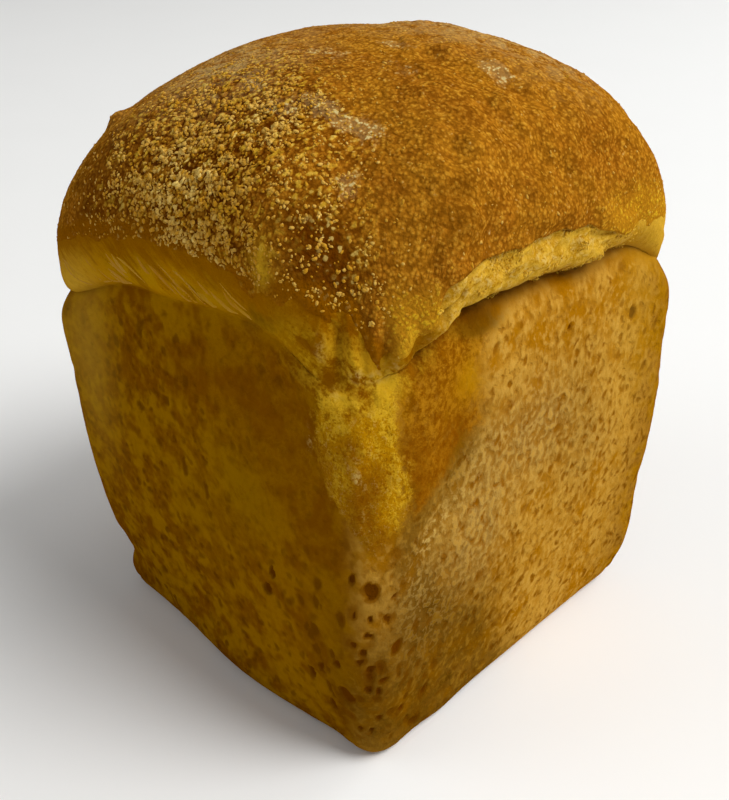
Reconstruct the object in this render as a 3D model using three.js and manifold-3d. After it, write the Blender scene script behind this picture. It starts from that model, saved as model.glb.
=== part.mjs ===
import * as THREE from 'three';
import { mergeVertices } from 'three/addons/utils/BufferGeometryUtils.js';
import Module from 'manifold-3d';

// A square tin loaf of wheat bread. Millimetres, +Z up, origin in the middle of the foot.
// The corner (+X, -Y) is the pinched one; the +X side carries the torn shred under the crust.

// Tin-baked walls
const halfFoot = 49.1;
const halfRim = 52.0;
const wallBulge = 3.4;
const bulgeReach = 0.96;
const footFillet = 4.6;
const cornerAtFoot = 9.4;
const cornerAtRim = 9.0;

// The rim groove that the edge of the tin left, and the dough that rose over it
const grooveHeight = 101.5;
const grooveInset = 2.4;
const rightRide = { rise: 4.6, up: [10, 27], easeOff: [38, 72], kept: 0.28, end: [82, 94] };
const leftRide = { rise: 4.5, up: [6, 24], end: [26, 60] };
const nearFill = { share: 0.8, run: -4, spread: 20 };
const leftFill = { share: 0.85, run: -52, spread: 33 };
const shoulderHeight = 8;
const shoulderPower = 2.2;
const shredInset = 0.9;
const bellyRise = 6;
const halfBelly = 53.8;
const cornerAtBelly = 19;
const bellySpread = 20;
const bellyRoundShare = 0.55;
const bellyRoundSpread = 30;
const bellyDent = { depth: 1.6, run: -28, spread: 22 };

// The baked dome
const topHeight = 145.6;
const domePower = 2.43;
const domeRounding = 0.8;
const peakX = 5.6;
const peakY = 6.6;
const crustEdge = 112.8;
const crustFollow = 0.9;
const crustLip = 0.9;
const shredRise = 1.7;
const shredNearFade = [0.52, 0.74];
const shredFarFade = [0.3, 0.75];
const farDrop = { drop: 4.4, start: [58, 69], end: [90, 102] };
const scallop = 1.6;
const scallopsPerHalf = 9;
const backShred = 0.5;
const backShredMiddle = -0.2;
const backShredSpread = 0.45;

// How uneven the surface is
const wallWave = 0.45;
const wallWaveLength = 26;
const domeWave = 0.5;
const domeWaveLength = 24;
const crustKnob = 0.12;
const crustKnobLength = 8;
const shredWave = 1.3;
const shredLength = 5;

// Heights over which relief fades in or out: above the foot, from the groove or from the crust's edge
const footFade = [2, 12];
const rimFade = [-4, 1];
const crustFade = [-2, 6];
const shredFootFade = [-1, 2];
const shredTopFade = [-1, 0.5];
const lipFade = [-0.5, 0.6];
const lipEnd = [3, 14];

// What differs from corner to corner: sag of the groove, how far along the side it sits and spreads,
// extra belly, how much rounder the corner gets up to the rim where the dough
// did not fill the tin, and the sunken flanks on the two sides.
const corners = [
  { s: 1, t: -1, sag: 6.2, sagRun: -9, sagSpread: 21, belly: -0.9, round: 16, left: 2.4, right: 1.2 },
  { s: -1, t: -1, sag: 12.6, sagRun: 0, sagSpread: 24, belly: 2.2, round: 0, left: 0.5, right: 0.5 },
  { s: 1, t: 1, sag: 9, sagRun: 0, sagSpread: 12, belly: 0.8, round: 0, left: 0.6, right: 0.8 },
  { s: -1, t: 1, sag: 8, sagRun: 4, sagSpread: 18, belly: 0.3, round: 9, left: 1.6, right: 1 },
];
const flankLow = 48;
const flankHigh = 97;
const roundPower = 1.1;

// How the middle of a flank runs out from its corner on the way up, and its inner and outer spread
const leftFlank = { from: 4, gain: 20, full: 1, power: 1.2, inner: [3, 5], outer: [5, 8] };
const rightFlank = { from: 6, gain: 20, full: 0.55, power: 0.8, inner: [3, 4], outer: [4, 4] };
const flankPastCorner = 6;
const flankAtRim = 0.5;

// Local knocks: their corner, run along the side, height, half spreads and how far they stand out
const knocks = [
  { corner: 1, run: 0, z: 14, wide: 12, high: 5.5, out: -3.1 },
  { corner: 1, run: 0, z: 82, wide: 16, high: 8, out: 1.2 },
  { corner: 1, run: 4, z: 128.5, wide: 5, high: 1.8, out: 1.8 },
  { corner: 2, run: 0, z: 15, wide: 16, high: 11, out: 1.8 },
  { corner: 2, run: 0, z: 83, wide: 16, high: 9, out: 0.8 },
  { corner: 0, run: 0, z: 3, wide: 7, high: 9, out: 1.2 },
  { corner: 0, run: -4, z: 84, wide: 8, high: 14, out: 1.3 },
  { corner: 0, run: 24, z: 4, wide: 7, high: 6, out: 0.7 },
  { corner: 3, run: -18, z: 30, wide: 20, high: 15, out: -0.9 },
];

// The foot of the left side sags out beside the near corner, and is pulled in right beside it
const footSag = 3.0;
const footSagRun = -46;
const footSagSpread = 25;
const footSagHeight = 14;
const footPinch = 0.6;
const footPinchRun = -12;
const footPinchSpread = 8;
const footPinchHeight = 10;

// Folds of dough at the near corner: run along the side, height, half spreads and how far they stand out
const folds = [
  { run: -26, z: 108, wide: 2.4, high: 6, out: 0.7 },
  { run: -12, z: 104, wide: 3.4, high: 4.5, out: 1.2 },
  { run: -3, z: 103, wide: 3.2, high: 4, out: 1.5 },
  { run: 3.5, z: 106, wide: 2.6, high: 6, out: 0.9 },
  { run: 10.5, z: 104, wide: 3.4, high: 5.5, out: 1.3 },
  { run: 19, z: 106, wide: 3.2, high: 3, out: 1.0 },
  { run: -7.5, z: 105, wide: 1.8, high: 6, out: -1.1 },
  { run: 7, z: 104, wide: 1.6, high: 6, out: -1.0 },
  { run: 15, z: 103, wide: 1.8, high: 5, out: -1.2 },
];

// Mesh fineness
const cellsPerSide = 28;
const filletRows = 3;
const wallRows = 16;
const grooveRows = 4;
const domeStations = [0.03, 0.06, 0.09, 0.115, 0.145, 0.19, 0.25, 0.32];
const cornerGathering = 0.45;
const rimGathering = 1.25;

// Pores opened in the walls, as places on a loose grid
const poreColumns = 6;
const poreRows = 3;
const poreShare = 0.62;
const poreLow = 14;
const poreHigh = 84;
const poreWide = 0.85;
const poreTall = 1.5;
const poreSizes = [0.8, 1.4];
const poreDeep = 1.1;
const poreReach = 0.8;
const poreFlankLimit = 0.6;

// Larger pores low on the near corner: run along the side, height, half width, half height, tilt
const cornerPores = [
  [1, 51.2, 1.7, 1.9, 0],
  [-7, 53.5, 1.1, 1.4, 0.5],
  [5.5, 38, 1.1, 1.7, 0.7],
  [-3, 33, 1.2, 0.9, 0],
  [-6.5, 39, 0.8, 1.3, -0.4],
  [12, 33, 1.3, 1.9, 0.6],
  [0.5, 25, 1.7, 0.8, 0.1],
  [-12, 27, 0.9, 1.6, 0.2],
  [7, 23, 1.1, 1.6, -0.3],
  [-4, 17, 1.0, 1.4, 0],
  [15, 18, 1.3, 1.5, 0.6],
  [3, 11, 1.2, 1.0, 0],
  [-17, 15, 0.9, 1.2, 0],
];

const quarter = Math.PI / 2;

function clamp(value, low, high) {
  return Math.min(high, Math.max(low, value));
}

function ease(low, high, value) {
  const share = clamp((value - low) / (high - low), 0, 1);
  return share * share * (3 - 2 * share);
}

function bell(value) {
  return Math.exp(-value * value);
}

function mix(a, b, share) {
  return a + (b - a) * share;
}

function scatter(i, j, k) {
  const value = Math.sin(i * 127.1 + j * 311.7 + k * 74.7) * 43758.5453;
  return value - Math.floor(value);
}

// Smooth random waves between -1 and 1, with one free value per unit of length
function waves(x, y, z) {
  const i = Math.floor(x);
  const j = Math.floor(y);
  const k = Math.floor(z);
  const soft = (f) => f * f * f * (f * (f * 6 - 15) + 10);
  const u = soft(x - i);
  const v = soft(y - j);
  const w = soft(z - k);
  const layer = (level) => mix(
    mix(scatter(i, j, level), scatter(i + 1, j, level), u),
    mix(scatter(i, j + 1, level), scatter(i + 1, j + 1, level), u),
    v,
  );
  return 2 * mix(layer(k), layer(k + 1), w) - 1;
}

// Distance along the outline from a corner: positive along its X-facing side, negative along the other
function runFrom(corner, s, t) {
  const alongX = Math.abs(s - corner.s) * halfRim;
  const alongY = Math.abs(t - corner.t) * halfRim;
  return alongY > alongX ? alongX + alongY : -(alongX + alongY);
}

// Height of the tin's rim along the loaf, which sags at each corner
function saggedAt(s, t) {
  return corners.reduce(
    (z, corner) => z - corner.sag * bell((runFrom(corner, s, t) - corner.sagRun) / corner.sagSpread),
    grooveHeight,
  );
}

// The groove rides up over the sagged rim on both sides of the near corner
function grooveAt(s, t) {
  const run = runFrom(corners[0], s, t);
  const keptShare = mix(1, rightRide.kept, ease(...rightRide.easeOff, run));
  const right = ease(...rightRide.up, run) * keptShare * (1 - ease(...rightRide.end, run));
  const left = ease(...leftRide.up, -run) * (1 - ease(...leftRide.end, -run));
  return saggedAt(s, t) + rightRide.rise * right + leftRide.rise * left;
}

// Share of the torn shred: full on the +X side, half as much on part of the +Y side
function shredShare(s, t) {
  const ends = t < 0 ? 1 - ease(...shredNearFade, -t) : 1 - ease(...shredFarFade, t);
  const right = ease(0.9, 1, s) * ends;
  const back = ease(0.9, 1, t) * (1 - ease(0.75, 1, Math.abs(s)));
  return right + backShred * back * bell((s - backShredMiddle) / backShredSpread);
}

function crustEdgeAt(s, t) {
  const sagged = crustEdge - crustFollow * (grooveHeight - saggedAt(s, t));
  const ragged = scallop * waves(s * scallopsPerHalf, t * scallopsPerHalf, 4.2);
  const run = runFrom(corners[0], s, t);
  const dropped = farDrop.drop * ease(...farDrop.start, run) * (1 - ease(...farDrop.end, run));
  return sagged + shredShare(s, t) * (shredRise + ragged) - dropped;
}

// The sunken flanks: a valley on each side of a corner, running in to the corner lower down
function flank(shape, run, up) {
  const middle = shape.from + shape.gain * Math.min(1, up / shape.full) ** shape.power;
  const [narrow, gain] = run < middle ? shape.inner : shape.outer;
  return run > -flankPastCorner ? Math.sqrt(up) * bell((run - middle) / (narrow + gain * up)) : 0;
}

function upFlank(z) {
  return clamp((z - flankLow) / (flankHigh - flankLow), 0, 1);
}

function flankDepth(s, t, z) {
  const up = upFlank(z);
  return corners.reduce((depth, corner) => {
    const run = runFrom(corner, s, t);
    return depth + corner.left * flank(leftFlank, -run, up) + corner.right * flank(rightFlank, run, up);
  }, 0);
}

function bellyAt(s, t) {
  const dent = bellyDent.depth * bell((runFrom(corners[0], s, t) - bellyDent.run) / bellyDent.spread);
  return corners.reduce(
    (half, corner) => half + corner.belly * bell(runFrom(corner, s, t) / bellySpread),
    halfBelly - dent,
  );
}

function bellyRadius(s, t) {
  const share = corners.reduce(
    (sum, corner) => sum + corner.round * bell(runFrom(corner, s, t) / bellyRoundSpread),
    0,
  );
  return cornerAtBelly + bellyRoundShare * share;
}

// A square outline with rounded corners through the point (s, t) of the unit square's edge
function outline(half, radius, s, t) {
  const round = Math.min(radius, half);
  const x = s * half;
  const y = t * half;
  const cx = clamp(x, round - half, half - round);
  const cy = clamp(y, round - half, half - round);
  const length = Math.hypot(x - cx, y - cy) || 1;
  const nx = (x - cx) / length;
  const ny = (y - cy) / length;
  return { x: cx + nx * round, y: cy + ny * round, nx, ny };
}

function cornerRadius(s, t, z) {
  const own = corners.find((corner) => corner.s * s >= 0 && corner.t * t >= 0);
  return mix(cornerAtFoot, cornerAtRim, z / grooveHeight) + own.round * upFlank(z) ** roundPower;
}

// Depth of the groove: shallow where dough filled it round the near corner, deep by the shred
function insetAt(s, t) {
  const run = runFrom(corners[0], s, t);
  const open = [nearFill, leftFill].reduce(
    (share, fill) => share * (1 - fill.share * bell((run - fill.run) / fill.spread)),
    1,
  );
  return grooveInset * open + shredInset * shredShare(s, t);
}

function wallHalf(z) {
  const share = z / grooveHeight;
  return mix(halfFoot, halfRim, share) + wallBulge * Math.sin(Math.PI * share * bulgeReach);
}

// Each zone gives a point of the outline, its height, how far it is pushed out and how far it leans up
function footZone(f, s, t) {
  const inset = footFillet * (1 - Math.sin(f * quarter));
  const z = footFillet * (1 - Math.cos(f * quarter));
  const edge = outline(halfFoot - inset, Math.max(cornerAtFoot - inset, 2), s, t);
  return { ...edge, z, out: 0, lean: 0 };
}

function wallZone(w, s, t) {
  const groove = grooveAt(s, t);
  const z = mix(footFillet, groove, w);
  const edge = outline(wallHalf(z), cornerRadius(s, t, z), s, t);
  const near = clamp((z - groove + shoulderHeight) / shoulderHeight, 0, 1);
  const inset = insetAt(s, t) * near ** shoulderPower;
  return { ...edge, z, out: -inset - flankDepth(s, t, z) * mix(1, flankAtRim, near), lean: 0 };
}

function grooveZone(b, s, t) {
  const groove = grooveAt(s, t);
  const rise = Math.sin(b * quarter);
  const inner = wallHalf(groove) - insetAt(s, t);
  const half = mix(inner, bellyAt(s, t), rise);
  const edge = outline(half, mix(cornerRadius(s, t, groove), bellyRadius(s, t), rise), s, t);
  const z = groove + bellyRise * (1 - Math.cos(b * quarter));
  return { ...edge, z, out: -flankAtRim * flankDepth(s, t, groove) * (1 - b), lean: 0 };
}

function domeZone(d, s, t) {
  const start = grooveAt(s, t) + bellyRise;
  const cosine = Math.cos(d * quarter);
  const sine = Math.sin(d * quarter);
  const size = (cosine ** domePower + sine ** domePower) ** (-1 / domePower);
  const reach = Math.max(cosine * size, 0.0001);
  const half = bellyAt(s, t) * reach;
  const radius = mix(bellyRadius(s, t), half, (1 - reach) ** domeRounding);
  const edge = outline(half, radius, s, t);
  const z = mix(start, topHeight, sine * size);
  return {
    x: edge.x + peakX * (1 - reach),
    y: edge.y + peakY * (1 - reach),
    nx: edge.nx,
    ny: edge.ny,
    z,
    out: 0,
    lean: d,
  };
}

// Unevenness: knocks and folds by place, long waves on wall and dome, crags in the torn shred
function relief(p, s, t) {
  let out = p.out;
  for (const knock of knocks) {
    const run = runFrom(corners[knock.corner], s, t) - knock.run;
    out += knock.out * bell(run / knock.wide) * bell((p.z - knock.z) / knock.high);
  }
  for (const fold of folds) {
    const run = runFrom(corners[0], s, t) - fold.run;
    out += fold.out * bell(run / fold.wide) * bell((p.z - fold.z) / fold.high);
  }
  const edge = crustEdgeAt(s, t);
  const groove = grooveAt(s, t);
  const onWall = ease(...footFade, p.z) * (1 - ease(...rimFade, p.z - groove));
  const onDome = ease(...crustFade, p.z - edge);
  const shred = shredShare(s, t);
  const torn = shred * ease(...shredFootFade, p.z - groove) * (1 - ease(...shredTopFade, p.z - edge));
  const lip = shred * ease(...lipFade, p.z - edge) * (1 - ease(...lipEnd, p.z - edge));
  out += wallWave * onWall * waves(p.x / wallWaveLength, p.y / wallWaveLength, p.z / wallWaveLength);
  out += domeWave * onDome * waves(p.x / domeWaveLength + 7, p.y / domeWaveLength, p.z / domeWaveLength);
  out += crustKnob * onDome * waves(p.x / crustKnobLength, p.y / crustKnobLength + 5, p.z / crustKnobLength);
  out += shredWave * torn * waves(p.x / shredLength, p.y / shredLength, p.z / shredLength + 3);
  return out + crustLip * lip;
}

function place(p, s, t) {
  const out = p.z > 0 ? relief(p, s, t) : 0;
  const level = Math.cos(p.lean * quarter);
  const run = runFrom(corners[0], s, t);
  const sag = footSag * bell((run - footSagRun) / footSagSpread) * bell(p.z / footSagHeight);
  const pinch = footPinch * bell((run - footPinchRun) / footPinchSpread) * bell(p.z / footPinchHeight);
  return [
    p.x + p.nx * out * level,
    p.y + p.ny * out * level - sag + pinch,
    p.z + out * Math.sin(p.lean * quarter),
  ];
}

// Gathers the columns of the mesh a little towards the corners
function gather(a) {
  return mix(a, Math.sin(a * quarter), cornerGathering);
}

// Points round the unit square, counter-clockwise from the near corner
function squareEdge() {
  const points = [];
  for (let side = 0; side < 4; side += 1) {
    for (let i = 0; i < cellsPerSide; i += 1) {
      const a = gather((2 * i) / cellsPerSide - 1);
      points.push([[1, a], [-a, 1], [-1, -a], [a, -1]][side]);
    }
  }
  return points;
}

// The loaf's skin: rings from foot to dome, a square grid over the top and a fan under the foot
function loafSkin() {
  const square = squareEdge();
  const around = square.length;
  const rings = [];
  const addRing = (zone, station) => rings.push(square.map(([s, t]) => place(zone(station, s, t), s, t)));
  for (let k = 0; k <= filletRows; k += 1) addRing(footZone, k / filletRows);
  for (let k = 1; k <= wallRows; k += 1) addRing(wallZone, 1 - (1 - k / wallRows) ** rimGathering);
  for (let k = 1; k <= grooveRows; k += 1) addRing(grooveZone, k / grooveRows);
  for (const station of domeStations) addRing(domeZone, station);
  const points = rings.flat();
  const faces = [];
  for (let row = 0; row + 1 < rings.length; row += 1) {
    for (let i = 0; i < around; i += 1) {
      const a = row * around + i;
      const b = row * around + ((i + 1) % around);
      faces.push([a, b, b + around], [a, b + around, a + around]);
    }
  }
  addCap(points, faces, (rings.length - 1) * around);
  const middle = points.length;
  points.push([0, 0, 0]);
  for (let i = 0; i < around; i += 1) faces.push([middle, (i + 1) % around, i]);
  return { points, faces };
}

// The top as a grid of squares within squares, closed on the last ring
function addCap(points, faces, ringStart) {
  const half = cellsPerSide / 2;
  const last = domeStations[domeStations.length - 1];
  const index = new Map();
  const key = (i, j) => i * 1000 + j;
  for (let n = 0; n < 4 * cellsPerSide; n += 1) {
    const step = n % cellsPerSide;
    const side = Math.floor(n / cellsPerSide);
    const i = [cellsPerSide, cellsPerSide - step, 0, step][side];
    const j = [step, cellsPerSide, cellsPerSide - step, 0][side];
    index.set(key(i, j), ringStart + n);
  }
  for (let i = 1; i < cellsPerSide; i += 1) {
    for (let j = 1; j < cellsPerSide; j += 1) {
      const a = (i - half) / half;
      const b = (j - half) / half;
      const ring = Math.max(Math.abs(a), Math.abs(b));
      const s = ring ? gather(a / ring) : 1;
      const t = ring ? gather(b / ring) : 0;
      const p = domeZone(mix(1, last, ring), s, t);
      index.set(key(i, j), points.length);
      points.push(place(p, s, t));
    }
  }
  for (let i = 0; i < cellsPerSide; i += 1) {
    for (let j = 0; j < cellsPerSide; j += 1) {
      const a = index.get(key(i, j));
      const b = index.get(key(i + 1, j));
      const c = index.get(key(i + 1, j + 1));
      const d = index.get(key(i, j + 1));
      faces.push([a, b, c], [a, c, d]);
    }
  }
}

// Where a pore opens: the point of the wall, and the way out of it
function wallPoint(run, z) {
  const s = run > 0 ? 1 : 1 + run / halfRim;
  const t = run > 0 ? -1 + run / halfRim : -1;
  return sidePoint(s, t, z);
}

function sidePoint(s, t, z) {
  const w = (z - footFillet) / (grooveAt(s, t) - footFillet);
  const p = wallZone(clamp(w, 0, 1), s, t);
  return { at: place(p, s, t), nx: p.nx, ny: p.ny };
}

// Every pore as a place, half width, half height and tilt
function poreList() {
  const list = cornerPores.map(([run, z, wide, tall, tilt]) => ({ ...wallPoint(run, z), wide, tall, tilt }));
  const sides = [(a) => [1, a], (a) => [-a, 1], (a) => [-1, -a], (a) => [a, -1]];
  sides.forEach((side, n) => {
    for (let i = 0; i < poreColumns; i += 1) {
      for (let k = 0; k < poreRows; k += 1) {
        if (scatter(i + 11, k, n) > poreShare) continue;
        const a = poreReach * (2 * (i + scatter(i, k, n + 5)) / poreColumns - 1);
        const z = mix(poreLow, poreHigh, (k + scatter(i, k, n + 9)) / poreRows);
        const [s, t] = side(a);
        if (flankDepth(s, t, z) > poreFlankLimit) continue;
        const size = mix(...poreSizes, scatter(i, k, n + 13));
        const tilt = scatter(i, k, n + 17) - 0.5;
        list.push({ ...sidePoint(s, t, z), wide: poreWide * size, tall: poreTall * size, tilt });
      }
    }
  });
  return list;
}

// A pore is scooped with a squashed twenty-sided ball
function poreScoop(pore) {
  const ball = new THREE.IcosahedronGeometry(1, 0);
  const out = new THREE.Vector3(pore.nx, pore.ny, 0);
  const up = new THREE.Vector3(0, 0, 1);
  const along = new THREE.Vector3().crossVectors(out, up);
  const frame = new THREE.Matrix4().makeBasis(along, out, up).setPosition(...pore.at);
  const tilt = new THREE.Matrix4().makeRotationY(pore.tilt);
  const size = new THREE.Matrix4().makeScale(pore.wide, poreDeep, pore.tall);
  ball.applyMatrix4(frame.multiply(tilt).multiply(size));
  return ball;
}

const wasm = await Module();
wasm.setup();

function toSolid(geometry) {
  const bare = geometry.clone();
  bare.deleteAttribute('normal');
  bare.deleteAttribute('uv');
  const merged = mergeVertices(bare, 0.00001);
  return new wasm.Manifold(new wasm.Mesh({
    numProp: 3,
    vertProperties: Float32Array.from(merged.attributes.position.array),
    triVerts: Uint32Array.from(merged.index.array),
  }));
}

function toGeometry(solid) {
  const mesh = solid.getMesh();
  const geometry = new THREE.BufferGeometry();
  geometry.setAttribute('position', new THREE.BufferAttribute(Float32Array.from(mesh.vertProperties), 3));
  geometry.setIndex(new THREE.BufferAttribute(Uint32Array.from(mesh.triVerts), 1));
  return geometry;
}

function loafGeometry() {
  const { points, faces } = loafSkin();
  const skin = new THREE.BufferGeometry();
  skin.setAttribute('position', new THREE.Float32BufferAttribute(points.flat(), 3));
  skin.setIndex(faces.flat());
  let solid = toSolid(skin);
  for (const pore of poreList()) solid = solid.subtract(toSolid(poreScoop(pore)));
  return toGeometry(solid);
}

function loaf() {
  const geometry = loafGeometry();
  geometry.computeVertexNormals();
  const material = new THREE.MeshStandardMaterial({ color: 0xb8802c, roughness: 0.8, metalness: 0 });
  const mesh = new THREE.Mesh(geometry, material);
  mesh.name = 'loaf';
  return mesh;
}

const group = new THREE.Group();
group.name = 'wheat_tin_loaf';
group.add(loaf());

export default group;
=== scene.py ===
import bpy
import numpy as np
from bpy.props import FloatProperty, FloatVectorProperty, IntProperty, PointerProperty
from bpy.types import Operator, Panel, PropertyGroup
from mathutils import Matrix, Vector


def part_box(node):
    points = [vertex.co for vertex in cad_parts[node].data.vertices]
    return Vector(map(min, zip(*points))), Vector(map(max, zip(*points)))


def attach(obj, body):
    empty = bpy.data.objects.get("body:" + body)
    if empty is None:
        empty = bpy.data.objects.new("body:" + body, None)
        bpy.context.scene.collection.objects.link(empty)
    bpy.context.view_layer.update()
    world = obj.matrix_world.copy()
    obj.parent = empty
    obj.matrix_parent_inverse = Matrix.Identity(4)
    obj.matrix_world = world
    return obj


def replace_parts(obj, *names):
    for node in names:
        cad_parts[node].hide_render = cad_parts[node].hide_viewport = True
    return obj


bl_info = {
    "name": "Wheat tin loaf",
    "version": (1, 0, 0),
    "blender": (4, 5, 0),
    "location": "3D View > Sidebar > Loaf",
    "description": "A square tin loaf: pitted walls, torn shred, blistered dome and loose crumbs",
    "category": "Add Mesh",
}

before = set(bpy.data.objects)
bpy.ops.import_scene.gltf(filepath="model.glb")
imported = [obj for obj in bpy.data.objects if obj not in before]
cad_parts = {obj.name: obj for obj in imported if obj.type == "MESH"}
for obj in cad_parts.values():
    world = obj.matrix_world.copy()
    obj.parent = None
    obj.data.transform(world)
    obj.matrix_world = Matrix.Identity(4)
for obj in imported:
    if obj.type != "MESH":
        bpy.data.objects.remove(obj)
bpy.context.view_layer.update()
LOAF_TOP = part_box("loaf")[1][2]

# The form is worked out in millimetres and set into the meshes in metres.
# +Z is up, the origin is in the middle of the foot, and the pinched corner is (+X, -Y).
MM = 0.001
QUARTER = np.pi / 2

# Tin-baked walls
WALL_BULGE = 3.4
BULGE_REACH = 0.96
FOOT_FILLET = 4.6
CORNER_AT_FOOT = 9.4
CORNER_AT_RIM = 9.0

# The rim groove that the edge of the tin left, and the dough that rose over it
GROOVE_INSET = 2.4
RIGHT_RIDE = dict(rise=4.6, up=(10, 27), ease_off=(38, 72), kept=0.28, end=(82, 94))
LEFT_RIDE = dict(rise=4.5, up=(6, 24), end=(26, 60))
NEAR_FILL = dict(share=0.8, run=-4, spread=20)
LEFT_FILL = dict(share=0.85, run=-52, spread=33)
SHOULDER_HEIGHT = 8
SHOULDER_POWER = 2.2
SHRED_INSET = 0.9
BELLY_RISE = 6
CORNER_AT_BELLY = 19
BELLY_SPREAD = 20
BELLY_DENT = dict(depth=1.6, run=-28, spread=22)
BELLY_ROUND_SHARE = 0.55
BELLY_ROUND_SPREAD = 30

# The dome, and how the lower edge of the baked crust follows the groove
DOME_POWER = 2.43
DOME_ROUNDING = 0.8
PEAK_X = 5.6
PEAK_Y = 6.6
CRUST_FOLLOW = 0.9
SHRED_RISE = 1.7
SCALLOP = 1.6
SCALLOPS_PER_HALF = 9
BACK_SHRED = 0.5
BACK_SHRED_MIDDLE = -0.2
BACK_SHRED_SPREAD = 0.45
SHRED_NEAR_FADE = (0.52, 0.74)
SHRED_FAR_FADE = (0.3, 0.75)
FAR_DROP = dict(drop=4.4, start=(58, 69), end=(90, 102))

# Long and short unevenness: how far it stands out and how long its waves are
WALL_WAVE = (0.45, 26)
DOME_WAVE = (0.5, 24)
CRUST_KNOB = (0.12, 8)
SHRED_WAVE = (1.3, 5)

# Heights over which relief fades in or out: above the foot, from the groove or from the crust's edge
FOOT_FADE = (2, 12)
RIM_FADE = (-4, 1)
CRUST_FADE = (-2, 6)
SHRED_FOOT_FADE = (-1, 2)
LIP_END = (3, 14)

# What differs from corner to corner: sag of the groove, how far along the side it sits and spreads,
# extra belly, how much rounder the corner gets, and the sunken flanks on its two sides
CORNERS = (
    dict(s=1, t=-1, sag=6.2, sag_run=-9, sag_spread=21, belly=-0.9, round=16, left=2.4, right=1.2),
    dict(s=-1, t=-1, sag=12.6, sag_run=0, sag_spread=24, belly=2.2, round=0, left=0.5, right=0.5),
    dict(s=1, t=1, sag=9, sag_run=0, sag_spread=12, belly=0.8, round=0, left=0.6, right=0.8),
    dict(s=-1, t=1, sag=8, sag_run=4, sag_spread=18, belly=0.3, round=9, left=1.6, right=1),
)
NEAR = CORNERS[0]
FLANK_LOW = 48
FLANK_HIGH = 97
ROUND_POWER = 1.1
LEFT_FLANK = dict(start=4, gain=20, full=1, power=1.2, inner=(3, 5), outer=(5, 8))
RIGHT_FLANK = dict(start=6, gain=20, full=0.55, power=0.8, inner=(3, 4), outer=(4, 4))
FLANK_PAST_CORNER = 6
FLANK_AT_RIM = 0.5

# Local knocks: corner, run along the side, height, half spreads, and how far they stand out
KNOCKS = (
    (1, 0, 14, 12, 5.5, -3.1),
    (1, 0, 82, 16, 8, 1.2),
    (1, 4, 128.5, 5, 1.8, 1.8),
    (2, 0, 15, 16, 11, 1.8),
    (2, 0, 83, 16, 9, 0.8),
    (0, 0, 3, 7, 9, 1.2),
    (0, -4, 84, 8, 14, 1.3),
    (0, 24, 4, 7, 6, 0.7),
    (3, -18, 30, 20, 15, -0.9),
)

# The foot of the -Y side sags out beside the near corner, and is pulled in right beside it
FOOT_SAG = dict(out=3.0, run=-46, spread=25, height=14)
FOOT_PINCH = dict(out=0.6, run=-12, spread=8, height=10)

# Folds of dough at the near corner: run along the side, height, half spreads, how far they stand out
FOLDS = (
    (-26, 108, 2.4, 6, 0.7),
    (-12, 104, 3.4, 4.5, 1.2),
    (-3, 103, 3.2, 4, 1.5),
    (3.5, 106, 2.6, 6, 0.9),
    (10.5, 104, 3.4, 5.5, 1.3),
    (19, 106, 3.2, 3, 1.0),
    (-7.5, 105, 1.8, 6, -1.1),
    (7, 104, 1.6, 6, -1.0),
    (15, 103, 1.8, 5, -1.2),
)

# Lobes of the crust's edge near the pinched corner: run, spread, rise; and its finer rags
EDGE_LOBES = (
    (-45, 18, 1.2),
    (-15, 10, 4.0),
    (20, 3.0, 2.0),
    (33, 10, 1.6),
    (45, 6, 1.2),
)
TONGUE = dict(start=(-5, 6), middle=(8, 13), end=(17, 21), drop=(7.4, 6.4))
EDGE_RAGS = ((0.7, 6), (0.5, 2.3))

# How far the crust runs on under the body, the heights over which it comes out of it, and those
# over which the body gives way beneath it
CRUST_TUCK = 2.6
CRUST_RISING = (-2.2, 1.0)
UNDER_CRUST = (0.4, 3.2)

# How far the crust stands out: sunk under the body and clear of it, and over the shred. Its lip's
# two rows lie this much further in
CRUST_STAND = (-0.7, 0.12)
SHRED_STAND = 0.2
LIP_DROPS = (2.6, 1.2)

# The smooth triangle at the near corner: its reach along either side and the heights it opens over
SMOOTH_LEFT = 17
SMOOTH_RIGHT = 31
SMOOTH_RISE = (58, 85)

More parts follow.
